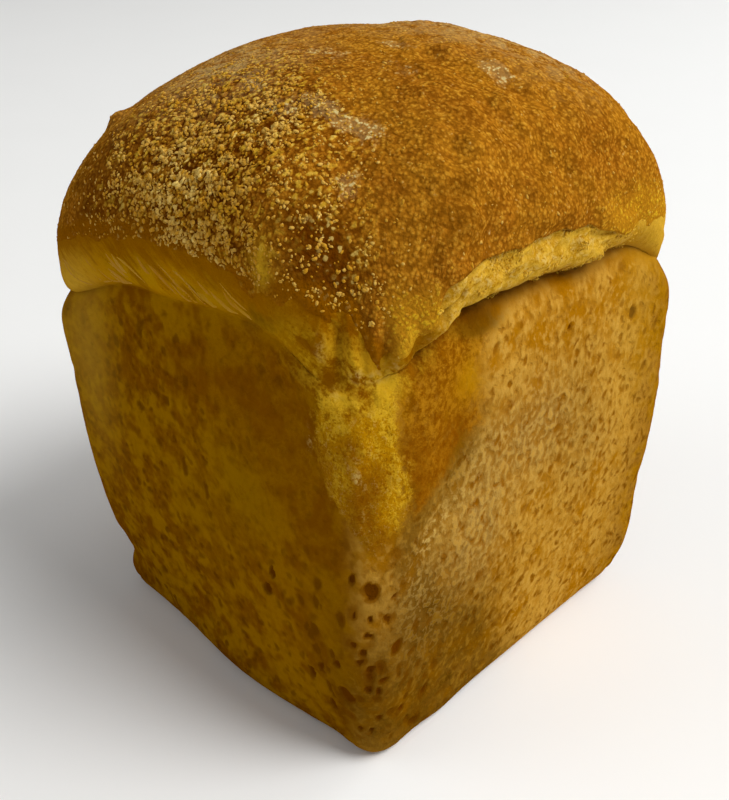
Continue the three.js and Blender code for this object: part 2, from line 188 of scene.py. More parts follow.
# Larger pores, most of them low on the near corner: run, height, half width, half height, tilt
CORNER_PORES = (
    (0.4, 54.2, 3.0, 2.1, 0),
    (-5.6, 56.2, 0.8, 1.2, 0.3),
    (7.2, 51.9, 0.9, 0.6, 0),
    (-5.1, 47.9, 0.7, 0.6, 0),
    (0, 47.5, 1.1, 0.6, 0),
    (5.4, 46.8, 1.2, 0.8, 0.6),
    (-0.8, 42.8, 1.5, 0.7, 0),
    (-5.4, 39.7, 0.9, 0.7, 0),
    (-2.7, 38.0, 1.2, 0.9, -0.3),
    (7.4, 37.7, 1.2, 1.8, 0.6),
    (-3.7, 34.9, 1.1, 0.8, -0.4),
    (-0.5, 33.0, 1.9, 0.9, -0.4),
    (4, 29.1, 1.5, 0.8, -0.2),
    (-15.2, 26.4, 0.7, 1.8, 0.3),
    (-18.6, 21.8, 0.8, 1.5, -0.2),
    (-7.6, 22.3, 1.8, 2.2, -0.5),
    (-1.3, 26.0, 1.2, 1.0, 0.3),
    (2.2, 25.6, 0.9, 1.2, 0),
    (17, 15.3, 0.9, 1.6, 0.1),
    (13.4, 7.2, 1.8, 1.2, 0.4),
    (-4.5, 11.5, 0.9, 1.0, 0),
    (-0.8, 11.5, 0.8, 0.8, 0),
    (2.2, 15.9, 1.0, 0.8, 0),
    (-28.6, 46.1, 0.7, 1.6, 0),
    (-30.8, 40, 1.0, 1.5, 0),
    (60, 91.6, 0.7, 0.7, 0),
    (84, 86.2, 1.1, 1.5, 0),
    (-12.5, 15, 1.0, 1.6, -0.2),
    (9, 16, 0.8, 1.0, 0),
    (-10, 31, 0.8, 1.2, 0.2),
)

# Fainter gouges, given in the same way
GOUGES = (
    (44, 45, 0.7, 3.0, -0.3),
    (49, 38, 0.6, 2.4, -0.2),
    (40, 38, 0.8, 2.0, 0),
    (53, 33, 0.6, 1.8, 0),
    (36, 44, 0.6, 1.6, 0.2),
    (47, 52, 1.4, 1.1, 0),
    (57, 45, 1.1, 0.8, 0.5),
    (61, 53, 0.9, 1.3, 0.4),
    (33, 30, 0.7, 1.8, 0),
    (43, 28, 0.7, 1.5, 0.2),
    (58, 66, 1.0, 0.8, 0),
    (66, 74, 1.2, 0.8, 0.3),
    (74, 62, 1.0, 0.9, 0),
    (-52, 84, 1.1, 1.7, 0),
    (-68, 90, 1.2, 1.8, -0.2),
    (-60, 76, 1.5, 1.2, 0),
    (-78, 84, 1.1, 2.0, 0.2),
    (-70, 70, 1.6, 1.2, 0),
    (-48, 66, 1.3, 1.0, 0.3),
    (-56, 60, 0.8, 2.6, 0),
    (-49, 57, 0.8, 2.4, 0.1),
    (-72, 46, 1.2, 1.0, 0),
)

# Sides away from the light, as runs over which they set in on either side of the near corner, and
# the low part of that corner, where pits are thick. Away from the light the wall's colours are
# darker copies: painted shade
LEE_LEFT = (0, -10)
LEE_RIGHT = (75, 110)
LOW_CORNER = dict(spread=24, heights=(46, 62))

# Pits, one to a cell: spacing, size, upward stretch, share of the cells that hold one, and depth,
# as share and depth on the light side and on the lee side for the wide ones
WIDE_PITS = dict(spacing=5.2, size=0.27, stretch=0.8, share=(0.3, 0.5), depth=(0.42, 0.36))
LOW_PITS = dict(spacing=3.5, size=0.38, stretch=0.6, share=0.75, depth=0.75)
GOUGE_DEPTH = 0.32

# Fine lumps: how far they stand out, how wide and how high they are
WALL_LUMPS = (0.2, 2.7, 3.4)
SHRED_LUMPS = (0.45, 1.7, 1.5)
CORNER_LUMPS = (0.22, 1.8, 2.2)
CRUST_LUMPS = (0.1, 3.1, 3.1)
GRAIN_CLUMPS = (1, 3, 3)

# Wandering borders, given in the same way: pores, pinched corner, edge and blisters of the crust
PORE_RAG = (0.3, 1.2, 1.2)
CORNER_WANDER = ((2.6, 6.5, 9), (1.4, 2.2, 2.6))
CRUST_RAG = (1.6, 2.6, 2.6)
BLISTER_BEND = (0.45, 1.7, 1.7)

# Ridges of the shred: how far they stand out, slant, length, width, shift. Striae of the band and
# of the crumpled near corner: how far they stand out, length, width
SHRED_RIDGES = ((0.45, 12, 5, 2.4, 0), (0.2, 20, 2.6, 1.1, 30))
BAND_STRIAE = (0.22, 8, 1.3)
CRUMPLE_STRIAE = ((0.45, 6, 2.6), (0.3, 3, 1.2))
CRUMPLE_SPREAD = 24

# Pinched corner: runs and heights of its yellow nose, brown facet and dark strip. The strip's brown is
# browned dough and in part painted shade of its valley
NOSE_SIDES = (-15, 11)
NOSE_TOP = 99
STRIP_HEIGHTS = (70, 84)

# Soft patches as run, height, half spreads and share: where the walls are olive, brown, tan, dark,
# shaded or whitish, where the dough is bright or dull, and where it is golden. The dark patches at
# the foot of the near corner and the shaded ones are painted shade, and the whitish ones along the
# ridge on the +X side a painted highlight
OLIVE_SPOTS = ((-35, 64, 9, 13, 1.0), (-52, 50, 14, 16, 0.5), (-13, 46, 7, 12, 0.5))
BROWN_SPOTS = (
    (-40, 88, 15, 9, 0.9),
    (-12, 66, 7, 12, 0.6),
    (-22, 78, 8, 12, 0.7),
    (-20, 40, 22, 26, 0.4),
    (38, 78, 7, 6, 0.3),
)
TAN_SPOTS = ((50, 72, 16, 13, 1.0), (31, 54, 11, 19, 1.0), (14, 44, 9, 15, 0.9), (70, 58, 12, 12, 0.4))
# The low dark patches, at the foot of the near corner, are painted shade that holds down the floor's bounce
# light; the others darken the wall in patches
DARK_SPOTS = (
    (2, 20, 15, 24, 1.0),
    (22, 19, 16, 20, 1.0),
    (36, 8, 14, 10, 0.6),
    (12, 64, 7, 20, 0.8),
    (17, 42, 9, 12, 0.6),
    (25, 79, 8, 9, 1.0),
    (30, 26, 12, 12, 0.6),
    (24, 92, 6, 5, 0.3),
    (13, 80, 3, 7, 0.6),
    (22, 68, 7, 5, 0.4),
    (66, 68, 10, 26, 0.26),
    (38, 4, 16, 7, 0.5),
)
SHADE_SPOTS = (
    (14, 8, 14, 10, 0.5),
    (-28, 106, 9, 4, 0.5),
    (32, 102.5, 7, 2.8, 0.9),
    (43, 105.5, 7, 2, 0.5),
)
# The first six lie along the edge of the smooth triangle on the +X side and are a painted highlight on its
# ridge; the rest are whitish wisps of dough
CREASE_SPOTS = (
    (19.5, 64, 3, 2.4, 0.9),
    (15.5, 60.5, 2.6, 2.4, 0.8),
    (25, 67, 4, 3, 0.45),
    (31, 72, 4, 3, 0.35),
    (37, 77, 5, 3, 0.4),
    (13, 52, 4, 6, 0.3),
    (-3, 80, 1.3, 1.6, 0.9),
    (-9, 95, 1.2, 1.2, 0.4),
    (-16.5, 84, 0.7, 2.4, 0.6),
    (-12, 104, 1.2, 2.5, 0.4),
    (-2, 99, 2, 1.3, 0.8),
    (4, 98.4, 3, 1.1, 0.7),
    (9, 101, 2, 1.3, 0.8),
)
BRIGHT_SPOTS = (
    (6, 95, 5, 6, 1.0),
    (3, 102, 6, 3, 0.8),
    (-9, 94, 4, 5, 0.5),
    (30, 92, 5, 4, 0.8),
    (0, 69, 5, 3, 0.2),
    (-74, 109, 14, 4.5, 0.7),
)
GOLD_SPOTS = ((95, 110, 14, 7, 1.0), (98, 99, 12, 5, 0.5), (-90, 78, 9, 26, 1.0), (86, 82, 8, 24, 0.4))
DULL_SPOTS = (
    (-2, 73, 7, 8, 1.0),
    (-5, 86, 5, 4, 0.7),
    (-13, 80, 4, 9, 0.7),
    (5, 64, 9, 6, 0.8),
    (4, 80, 6, 5, 0.6),
)

# Crack of the torn shred, from its foot to its top as run and height, and the crevice along its foot
CRACK = dict(foot=(19, 107), top=(27, 115), wide=0.6, long=4, depth=1.0)
CREVICE = dict(above=0.6, wide=1.5, depth=1.1)
UNDERCUT = 1.1

# Slants, in degrees, of the stretched dough on the band and at the near corner
BAND_SLANT = 32
CORNER_SLANT = 58

# Places on the dome as x, y, half spreads and share: where grains and blisters are coarse, where
# they are pale, where flour lies, where the crust is whitish, and where it is browned darkest
COARSE_SPOTS = (
    (1, -49, 13, 10, 1.0),
    (-16, -44, 14, 14, 0.6),
    (9, -39, 13, 6, 0.8),
    (17, -50, 10, 6, 0.6),
    (16, -31, 13, 6, 0.6),
    (38, -43, 9, 6, 0.38),
    (-4, -26, 18, 12, 0.5),
    (28, -42, 10, 6, 0.2),
)
PALE_SPOTS = (
    (1, -49, 8, 6, 1.0),
    (8, -38, 9, 4, 0.7),
    (-12, -46, 5, 6, 0.5),
    (18, -32, 9, 4, 0.6),
    (38, -43, 9, 5, 0.65),
)
FLOUR_SPOTS = (
    (19, -28, 7, 2.6, 0.9),
    (11, -33, 5, 2.2, 0.7),
    (0, -29, 3.5, 2, 0.8),
    (-7, -34, 3, 1.6, 0.6),
    (28, -26, 4, 2.6, 0.7),
    (33, -36, 3, 3, 0.5),
    (32, 7, 4.5, 2.6, 0.9),
    (11, 0, 6, 2.4, 0.6),
    (3, -12, 8, 3, 0.45),
    (20, -9, 7, 3, 0.35),
)
PALER_SPOTS = ((-20, -22, 18, 14, 0.8),)
BROWNED_SPOTS = (
    (36, -46, 9.5, 6.5, 1.0),
    (49, -26, 5, 7, 0.35),
    (-28, -47, 12, 9, 0.5),
    (-18, -54, 22, 3, 0.4),
    (47, 18, 6, 12, 0.2),
    (54, -6, 7, 26, 0.3),
)
# Painted sheen: how much paler the far top of the dome is made, the reach back along y less 0.3 x over which
# it sets in, and its heights
FAR_TOP_SHEEN = dict(share=0.8, back=(-8, 34), heights=(130, 142))

# Golden dough on the crust: fingers beside the near corner as run, height, half spreads, share and
# wobble, the tongue beside that corner, and the stretch at the far end of the +X side
FINGERS = ((-25.5, 116.5, 3, 5.5, 1.0, 0.8), (13, 104, 5, 5, 0.6, 0))
AMBER_TONGUE = dict(start=(4, 12), end=(18.5, 20.5), heights=(111, 118))
AMBER_END = dict(share=0.9, start=(60, 76), end=(108, 126), above=(3, 13))
GOLDEN_END = dict(start=(40, 60), end=(116, 134))

# Loose lumps: seeds of the random draws, places tried for each lump, half widths, and one lump's
# sides, the radius and height of its two rings, and the heights of its poles
GRAIN_SEED = 11
CRUMB_SEED = 23
TRIES = 12
GRAIN_WIDTH = (0.18, 0.48)
CRUMB_WIDTH = (0.14, 0.36)
LUMP_SIDES = 5
LOW_RING = (0.9, -0.25)
HIGH_RING = (0.8, 0.45)
POLES = (-0.7, 0.85)

# Share of the tried places that get a grain: on bare crust, and added where the crust is coarse
GRAIN_SHARE = (0.015, 0.88)

# Strands: distance from the near corner, slope in degrees, length, share of the band's height at
# which they start, bend, half width and half thickness
STRAND_SEED = 37
STRAND_AWAY = (34, 92)
STRAND_SLOPE = (24, 40)
STRAND_LONG = (4, 10)
STRAND_START = (0.25, 0.75)
STRAND_BEND = 0.8
STRAND_WIDE = (0.3, 0.7)
STRAND_HIGH = (0.02, 0.05)

# Mesh fineness
BODY_COLUMNS = (164, 122, 122, 164)
FOOT_ROWS = 6
WALL_ROWS = 112
GROOVE_ROWS = 16
BAND_ROWS = 22
HIDDEN_RINGS = 8
CRUST_COLUMNS = (240, 240, 240, 240)
CRUST_RINGS = 36
CAP_REACH = 0.9
STRAND_STATIONS = 10

# Camera, as it stood to the loaf in the photograph
PHOTO_WIDTH = 729
PHOTO_HEIGHT = 800
FOCAL_PIXELS = 1060
CAMERA_AZIMUTH = 45.7
CAMERA_ELEVATION = 30.82
CAMERA_ROLL = -1.599
CAMERA_DISTANCE = 269.8
TARGET_ASIDE = -0.7729
TARGET_HEIGHT = 55.82
SENSOR = 36.0

# Floor: its radius, the sides of its outline, and how far it lies under the foot
FLOOR_RADIUS = 2500
FLOOR_SIDES = 96
FLOOR_GAP = 0.05

# Studio lights: name, azimuth and elevation in degrees, distance and size in metres, watts
LIGHTS = (
    ("key_light", 115, 50, 2.5, 1.4, 57),
    ("fill_light", -40, 35, 2.5, 1.6, 8.5),
    ("back_light", 165, 35, 2.5, 1.4, 16),
)
ROOM_LIGHT = 0.25


def ease(low, high, value):
    """A smooth step from 0 at low to 1 at high."""
    share = np.clip((value - low) / (high - low), 0, 1)
    return share * share * (3 - 2 * share)


def bell(value):
    """The bell curve exp(-value squared)."""
    return np.exp(-value * value)


def mix(a, b, share):
    """From a to b by share."""
    return a + (b - a) * share


def scatter(i, j, k):
    """A random number from 0 to 1 for each whole place: the fraction of a large sine."""
    value = np.sin(i * 127.1 + j * 311.7 + k * 74.7) * 43758.5453
    return value - np.floor(value)


def waves(x, y, z):
    """Smooth random waves from -1 to 1: random corners of unit cubes, blended by a quintic step."""
    x, y, z = np.broadcast_arrays(x, y, z)
    i, j, k = np.floor(x), np.floor(y), np.floor(z)
    u, v, w = (f * f * f * (f * (f * 6 - 15) + 10) for f in (x - i, y - j, z - k))

    def layer(level):
        near = mix(scatter(i, j, level), scatter(i + 1, j, level), u)
        far = mix(scatter(i, j + 1, level), scatter(i + 1, j + 1, level), u)
        return mix(near, far, v)

    return 2 * mix(layer(k), layer(k + 1), w) - 1


def cells(x, y, z, size):
    """One random point per cube of the given size: distances to the nearest and the next point,
    in cube sizes, and the nearest point's own random number."""
    x, y, z = x / size, y / size, z / size
    i, j, k = np.floor(x), np.floor(y), np.floor(z)
    nearest = np.full(x.shape, 9.0)
    second = np.full(x.shape, 9.0)
    tone = np.zeros(x.shape)
    steps = (-1, 0, 1)
    for a, b, c in ((a, b, c) for a in steps for b in steps for c in steps):
        ci, cj, ck = i + a, j + b, k + c
        px = ci + scatter(ci, cj, ck)
        py = cj + scatter(ci + 31, cj, ck)
        pz = ck + scatter(ci, cj + 57, ck)
        distance = np.sqrt((x - px) ** 2 + (y - py) ** 2 + (z - pz) ** 2)
        closer = distance < nearest
        second = np.where(closer, nearest, np.minimum(second, distance))
        tone = np.where(closer, scatter(ci, cj, ck + 83), tone)
        nearest = np.where(closer, distance, nearest)
    return nearest, second, tone


def outline(half, radius, s, t):
    """A square with rounded corners through the ray of the unit square's point (s, t): the point
    is pulled onto the corner's arc, and the way out of the outline comes with it."""
    half = np.broadcast_to(half, np.broadcast(half, s).shape)
    turn = np.minimum(radius, half)
    x, y = s * half, t * half
    cx = np.clip(x, turn - half, half - turn)
    cy = np.clip(y, turn - half, half - turn)
    length = np.hypot(x - cx, y - cy)
    length = np.where(length == 0, 1, length)
    nx, ny = (x - cx) / length, (y - cy) / length
    return cx + nx * turn, cy + ny * turn, nx, ny


def up_flank(z):
    """How far up its flank a height is, from 0 to 1."""
    return np.clip((z - FLANK_LOW) / (FLANK_HIGH - FLANK_LOW), 0, 1)


def flank(shape, run, up):
    """A valley beside a corner: a bell across it, whose middle runs away from the corner going up."""
    middle = shape["start"] + shape["gain"] * np.minimum(1, up / shape["full"]) ** shape["power"]
    inner = shape["inner"][0] + shape["inner"][1] * up
    outer = shape["outer"][0] + shape["outer"][1] * up
    spread = np.where(run < middle, inner, outer)
    return np.where(run > -FLANK_PAST_CORNER, np.sqrt(up) * bell((run - middle) / spread), 0)


class Skin:
    """Points on the loaf before relief: place, way out, push, lean of the push and (s, t)."""

    def __init__(self, x, y, z, nx, ny, out, lean, s, t):
        shape = np.broadcast(x, y, z, out, lean, s).shape
        fields = dict(x=x, y=y, z=z, nx=nx, ny=ny, out=out, lean=lean, s=s, t=t)
        for name, field in fields.items():
            setattr(self, name, np.broadcast_to(field, shape).astype(float))

    @staticmethod
    def stack(blocks):
        """Several blocks of rows as one."""
        names = ("x", "y", "z", "nx", "ny", "out", "lean", "s", "t")
        return Skin(*(np.concatenate([getattr(block, name) for block in blocks]) for name in names))


class Form:
    """The loaf's outer form. A point is given by (s, t) on the unit square's edge and a height,
    or on the dome by its reach, which is 1 at the belly and 0 at the peak."""

    def __init__(self, sizes):
        self.half_foot = sizes.foot_width / MM / 2
        self.half_rim = sizes.rim_width / MM / 2
        self.half_belly = sizes.belly_width / MM / 2
        self.groove_height = sizes.groove_height / MM
        self.top_height = sizes.top_height / MM
        self.edge_height = sizes.crust_edge / MM
        self.crust_lip = sizes.crust_lip / MM

    def run(self, corner, s, t):
        """Distance along the outline from a corner: positive on its X-facing side."""
        along_x = np.abs(s - corner["s"]) * self.half_rim
        along_y = np.abs(t - corner["t"]) * self.half_rim
        return np.where(along_y > along_x, 1, -1) * (along_x + along_y)

    def near_run(self, s, t):
        """Distance along the outline from the near corner: positive on the +X side."""
        return self.run(NEAR, s, t)

    def sagged(self, s, t):
        """Height of the tin's rim along the loaf, which sags by a bell at each corner."""
        height = self.groove_height
        for corner in CORNERS:
            across = (self.run(corner, s, t) - corner["sag_run"]) / corner["sag_spread"]
            height = height - corner["sag"] * bell(across)
        return height

    def groove(self, s, t):
        """Height of the groove: it rides up over the sagged rim on both sides of the near corner."""
        run = self.near_run(s, t)
        right = RIGHT_RIDE["rise"] * ease(*RIGHT_RIDE["up"], run) * (1 - ease(*RIGHT_RIDE["end"], run))
        right = right * mix(1, RIGHT_RIDE["kept"], ease(*RIGHT_RIDE["ease_off"], run))
        left = LEFT_RIDE["rise"] * ease(*LEFT_RIDE["up"], -run) * (1 - ease(*LEFT_RIDE["end"], -run))
        return self.sagged(s, t) + right + left

    def shred(self, s, t):
        """Share of the torn shred: full on the +X side, half as much on part of the +Y side."""
        ends = np.where(t < 0, 1 - ease(*SHRED_NEAR_FADE, -t), 1 - ease(*SHRED_FAR_FADE, t))
        right = ease(0.9, 1, s) * ends
        back = ease(0.9, 1, t) * (1 - ease(0.75, 1, np.abs(s)))
        return right + BACK_SHRED * back * bell((s - BACK_SHRED_MIDDLE) / BACK_SHRED_SPREAD)

    def crust_edge(self, s, t):
        """Height of the crust's lower edge: it follows the groove, with scallops over the shred."""
        sagged = self.edge_height - CRUST_FOLLOW * (self.groove_height - self.sagged(s, t))
        ragged = SCALLOP * waves(s * SCALLOPS_PER_HALF, t * SCALLOPS_PER_HALF, 4.2)
        run = self.near_run(s, t)
        dropped = FAR_DROP["drop"] * ease(*FAR_DROP["start"], run) * (1 - ease(*FAR_DROP["end"], run))
        return sagged + self.shred(s, t) * (SHRED_RISE + ragged) - dropped

    def flank_depth(self, s, t, z):
        """Depth of the sunken flanks: the valleys on either side of each corner, added up."""
        up = up_flank(z)
        depth = 0
        for corner in CORNERS:
            run = self.run(corner, s, t)
            depth = depth + corner["left"] * flank(LEFT_FLANK, -run, up)
            depth = depth + corner["right"] * flank(RIGHT_FLANK, run, up)
        return depth

    def belly(self, s, t):
        """Half width of the belly: less a dent beside the near corner, plus a bell at each corner."""
        dent = bell((self.near_run(s, t) - BELLY_DENT["run"]) / BELLY_DENT["spread"])
        half = self.half_belly - BELLY_DENT["depth"] * dent
        for corner in CORNERS:
            half = half + corner["belly"] * bell(self.run(corner, s, t) / BELLY_SPREAD)
        return half

    def belly_radius(self, s, t):
        """Radius of the belly's corners: the same all round, plus a bell at each rounder corner."""
        share = 0
        for corner in CORNERS:
            share = share + corner["round"] * bell(self.run(corner, s, t) / BELLY_ROUND_SPREAD)
        return CORNER_AT_BELLY + BELLY_ROUND_SHARE * share

    def corner_radius(self, s, t, z):
        """Radius of the wall's corners: a straight line from foot to rim, plus the extra of a rounder
        corner, which grows by a power going up its flank."""
        rounder = 0
        for corner in CORNERS:
            own = (corner["s"] * s > 0) & (corner["t"] * t > 0)
            rounder = rounder + np.where(own, corner["round"], 0)
        radius = mix(CORNER_AT_FOOT, CORNER_AT_RIM, z / self.groove_height)
        return radius + rounder * up_flank(z) ** ROUND_POWER

    def inset(self, s, t):
        """Depth of the groove: shallow where dough filled it at the near corner, deep by the shred."""
        run = self.near_run(s, t)
        open_share = 1.0
        for fill in (NEAR_FILL, LEFT_FILL):
            open_share = open_share * (1 - fill["share"] * bell((run - fill["run"]) / fill["spread"]))
        return GROOVE_INSET * open_share + SHRED_INSET * self.shred(s, t)

    def wall_half(self, z):
        """Half width of the wall: a straight taper plus a bulge of nearly half a sine wave."""
        share = z / self.groove_height
        bulge = WALL_BULGE * np.sin(np.pi * share * BULGE_REACH)
        return mix(self.half_foot, self.half_rim, share) + bulge

    def foot_skin(self, f, s, t):
        """The quarter round of the foot, f from 0 at the floor to 1 at the wall."""
        inset = FOOT_FILLET * (1 - np.sin(f * QUARTER))
        z = FOOT_FILLET * (1 - np.cos(f * QUARTER))
        radius = np.maximum(CORNER_AT_FOOT - inset, 2)
        x, y, nx, ny = outline(self.half_foot - inset, radius, s, t)
        return Skin(x, y, z, nx, ny, 0.0, 0.0, s, t)

    def wall_skin(self, z, s, t):
        """The wall up to the groove: tapered and bulging, drawn in below the groove by a power."""
        groove = self.groove(s, t)
        x, y, nx, ny = outline(self.wall_half(z), self.corner_radius(s, t, z), s, t)
        near = np.clip((z - groove + SHOULDER_HEIGHT) / SHOULDER_HEIGHT, 0, 1)
        inset = self.inset(s, t) * near**SHOULDER_POWER
        out = -inset - self.flank_depth(s, t, z) * mix(1, FLANK_AT_RIM, near)
        return Skin(x, y, z, nx, ny, out, 0.0, s, t)

    def groove_skin(self, b, s, t):
        """From the groove out to the belly along a quarter of an ellipse, b from 0 to 1."""
        groove = self.groove(s, t)
        rise = np.sin(b * QUARTER)
        half = mix(self.wall_half(groove) - self.inset(s, t), self.belly(s, t), rise)
        radius = mix(self.corner_radius(s, t, groove), self.belly_radius(s, t), rise)
        x, y, nx, ny = outline(half, radius, s, t)
        z = groove + BELLY_RISE * (1 - np.cos(b * QUARTER))
        out = -FLANK_AT_RIM * self.flank_depth(s, t, groove) * (1 - b)
        return Skin(x, y, z, nx, ny, out, 0.0, s, t)

    def dome_reach(self, z, s, t):
        """The reach at a height of the dome, a superellipse: reach^p + rise^p = 1."""
        start = self.groove(s, t) + BELLY_RISE
        rise = np.clip((z - start) / (self.top_height - start), 0, 1)
        return (1 - rise**DOME_POWER) ** (1 / DOME_POWER)

    def dome_skin(self, reach, s, t):
        """The dome at a reach: a rounded square that shrinks and turns into a circle going up."""
        reach = np.maximum(reach, 1e-4)
        rise = (1 - reach**DOME_POWER) ** (1 / DOME_POWER)
        half = self.belly(s, t) * reach
        radius = mix(self.belly_radius(s, t), half, (1 - reach) ** DOME_ROUNDING)
        x, y, nx, ny = outline(half, radius, s, t)
        z = mix(self.groove(s, t) + BELLY_RISE, self.top_height, rise)
        lean = np.arctan2(rise, reach) / QUARTER
        return Skin(x + PEAK_X * (1 - reach), y + PEAK_Y * (1 - reach), z, nx, ny, 0.0, lean, s, t)

    def skin_at(self, z, s, t):
        """The skin at any height from the top of the foot's round to the dome."""
        z, s, t = np.broadcast_arrays(np.asarray(z, float), s, t)
        groove = self.groove(s, t)
        wall = self.wall_skin(np.minimum(z, groove), s, t)
        share = np.clip((z - groove) / BELLY_RISE, 0, 1)
        belly = self.groove_skin(np.arccos(1 - share) / QUARTER, s, t)
        dome = self.dome_skin(self.dome_reach(z, s, t), s, t)
        parts = []
        for name in ("x", "y", "z", "nx", "ny", "out", "lean"):
            low = np.where(z <= groove, getattr(wall, name), getattr(belly, name))
            parts.append(np.where(z <= groove + BELLY_RISE, low, getattr(dome, name)))
        return Skin(*parts, s, t)

    def relief(self, p):
        """Knocks and folds by place, long waves on wall and dome, crags in the torn shred."""
        out = p.out.copy()
        for corner, run, z, wide, high, stand in KNOCKS:
            across = (self.run(CORNERS[corner], p.s, p.t) - run) / wide
            out += stand * bell(across) * bell((p.z - z) / high)
        near_run = self.near_run(p.s, p.t)
        for run, z, wide, high, stand in FOLDS:
            out += stand * bell((near_run - run) / wide) * bell((p.z - z) / high)
        edge = self.crust_edge(p.s, p.t)
        groove = self.groove(p.s, p.t)
        on_wall = ease(*FOOT_FADE, p.z) * (1 - ease(*RIM_FADE, p.z - groove))
        on_dome = ease(*CRUST_FADE, p.z - edge)
        torn = self.shred(p.s, p.t) * ease(*SHRED_FOOT_FADE, p.z - groove)
        for (stand, long), share, shift in (
            (WALL_WAVE, on_wall, (0, 0, 0)),
            (DOME_WAVE, on_dome, (7, 0, 0)),
            (CRUST_KNOB, on_dome, (0, 5, 0)),
            (SHRED_WAVE, torn, (0, 0, 3)),
        ):
            wave = waves(p.x / long + shift[0], p.y / long + shift[1], p.z / long + shift[2])
            out += stand * share * wave
        return out

    def place(self, p, out):
        """Points of a skin pushed out by out, in millimetres, as an array (..., 3)."""
        level = np.cos(p.lean * QUARTER)
        run = self.near_run(p.s, p.t)
        shift = 0
        for slump, sign in ((FOOT_SAG, -1), (FOOT_PINCH, 1)):
            beside = bell((run - slump["run"]) / slump["spread"]) * bell(p.z / slump["height"])
            shift = shift + sign * slump["out"] * beside
        x = p.x + p.nx * out * level
        y = p.y + p.ny * out * level + shift
        z = p.z + out * np.sin(p.lean * QUARTER)
        return np.stack([x, y, z], axis=-1)

    def crust_line(self, s, t):
        """Where the crust ends: the crust's edge with its lobes and a finer raggedness."""
        line = self.crust_edge(s, t)
        run = self.near_run(s, t)
        for middle, spread, rise in EDGE_LOBES:
            line = line + rise * bell((run - middle) / spread)
        for stand, long in EDGE_RAGS:
            line = line + stand * waves(s * self.half_rim / long, t * self.half_rim / long, 1.7)
        tongue = ease(*TONGUE["start"], run) * (1 - ease(*TONGUE["end"], run))
        line = line - tongue * mix(*TONGUE["drop"], ease(*TONGUE["middle"], run))
        return line

    def smooth_corner(self, s, t, z):
        """Share of the smooth triangle of dough that never touched the tin at the near corner."""
        run = self.near_run(s, t)
        left = -SMOOTH_LEFT * ease(*SMOOTH_RISE, z)
        right = SMOOTH_RIGHT * ease(*SMOOTH_RISE, z)
        inside = ease(-3, 4, run - left) * ease(-6, 5, right - run)
        return inside * ease(SMOOTH_RISE[0] - 4, SMOOTH_RISE[0] + 5, z)


def square_point(step):
    """The point (s, t) of the unit square's edge at step sides from the near corner."""
    side = np.mod(np.floor(step), 4).astype(int)
    a = 2 * (step - np.floor(step)) - 1
    one = np.ones(a.shape)
    return np.choose(side, [one, -a, -one, a]), np.choose(side, [a, one, -a, -one])


def round_square(counts):
    """Points (s, t) round the unit square, counter-clockwise, with a count for each side."""
    return square_point(np.concatenate([side + np.arange(n) / n for side, n in enumerate(counts)]))


def grid_faces(rows, columns):
    """Quads of rows that each close on themselves, pointing out when the rows climb."""
    corner = np.arange(rows * columns).reshape(rows, columns)
    low, high = corner[:-1], corner[1:]
    quads = [low, np.roll(low, -1, axis=1), np.roll(high, -1, axis=1), high]
    return np.stack(quads, axis=-1).reshape(-1, 4)


def fan_faces(ring, middle, down=False):
    """Triangles from a closed ring of vertices to one in the middle."""
    after = np.roll(ring, -1)
    centre = np.full(ring.shape, middle)
    return np.stack([after, ring, centre] if down else [ring, after, centre], axis=-1)


def mesh_piece(name, points, quads, triangles, finish, values, smooth=True):
    """A mesh object from points in millimetres, its faces, and named values per point."""
    corners = np.concatenate([quads.ravel(), triangles.ravel()]).astype(np.int32)
    sizes = np.concatenate([np.full(len(quads), 4), np.full(len(triangles), 3)])
    starts = np.concatenate([[0], np.cumsum(sizes)[:-1]]).astype(np.int32)
    mesh = bpy.data.meshes.new(name)
    mesh.vertices.add(len(points))
    mesh.vertices.foreach_set("co", (points * MM).astype(np.float32).ravel())
    mesh.loops.add(len(corners))
    mesh.loops.foreach_set("vertex_index", corners)
    mesh.polygons.add(len(sizes))
    mesh.polygons.foreach_set("loop_start", starts)
    mesh.polygons.foreach_set("use_smooth", np.full(len(sizes), smooth))
    for key, value in values.items():
        layer = mesh.attributes.new(key, "FLOAT", "POINT")
        layer.data.foreach_set("value", np.asarray(value, np.float32).ravel())
    mesh.update(calc_edges=True)
    mesh.materials.append(finish)
    piece = bpy.data.objects.new(name, mesh)
    bpy.context.collection.objects.link(piece)
    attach(piece, "root")
    return piece


def spotted(spots, run, z):
    """Sum of soft oval patches, from 0 to 1."""
    total = sum(share * bell((run - a) / wide) * bell((z - b) / high) for a, b, wide, high, share in spots)
    return np.clip(total, 0, 1)


def striae(run, z, degrees, long, wide):
    """Waves drawn out along a slant that falls towards the near corner."""
    c, s = np.cos(np.radians(degrees)), np.sin(np.radians(degrees))
    return waves((run * c - z * s) / long, (run * s + z * c) / wide, 0.5)


def swell(p, wave, shift=0):
    """Waves over a skin, given as how far they stand out, how wide and how high."""
    stand, wide, high = wave
    return stand * waves(p.x / wide, p.y / wide + shift, p.z / high)


def between(run, start, end):
    """1 between two runs, from a smooth step at start to a smooth step back at end."""
    return ease(*start, run) * (1 - ease(*end, run))


def crack_share(run, z):
    """The crack of the shred: a bell across the slanting line from its foot to its top."""
    (run_a, z_a), (run_b, z_b) = CRACK["foot"], CRACK["top"]
    across = (run - run_a) * (z_b - z_a) - (z - z_a) * (run_b - run_a)
    across = across / np.hypot(run_b - run_a, z_b - z_a) + 0.8 * waves(z / 2, 0, 0)
    return bell(across / CRACK["wide"]) * bell((z - (z_a + z_b) / 2) / CRACK["long"])


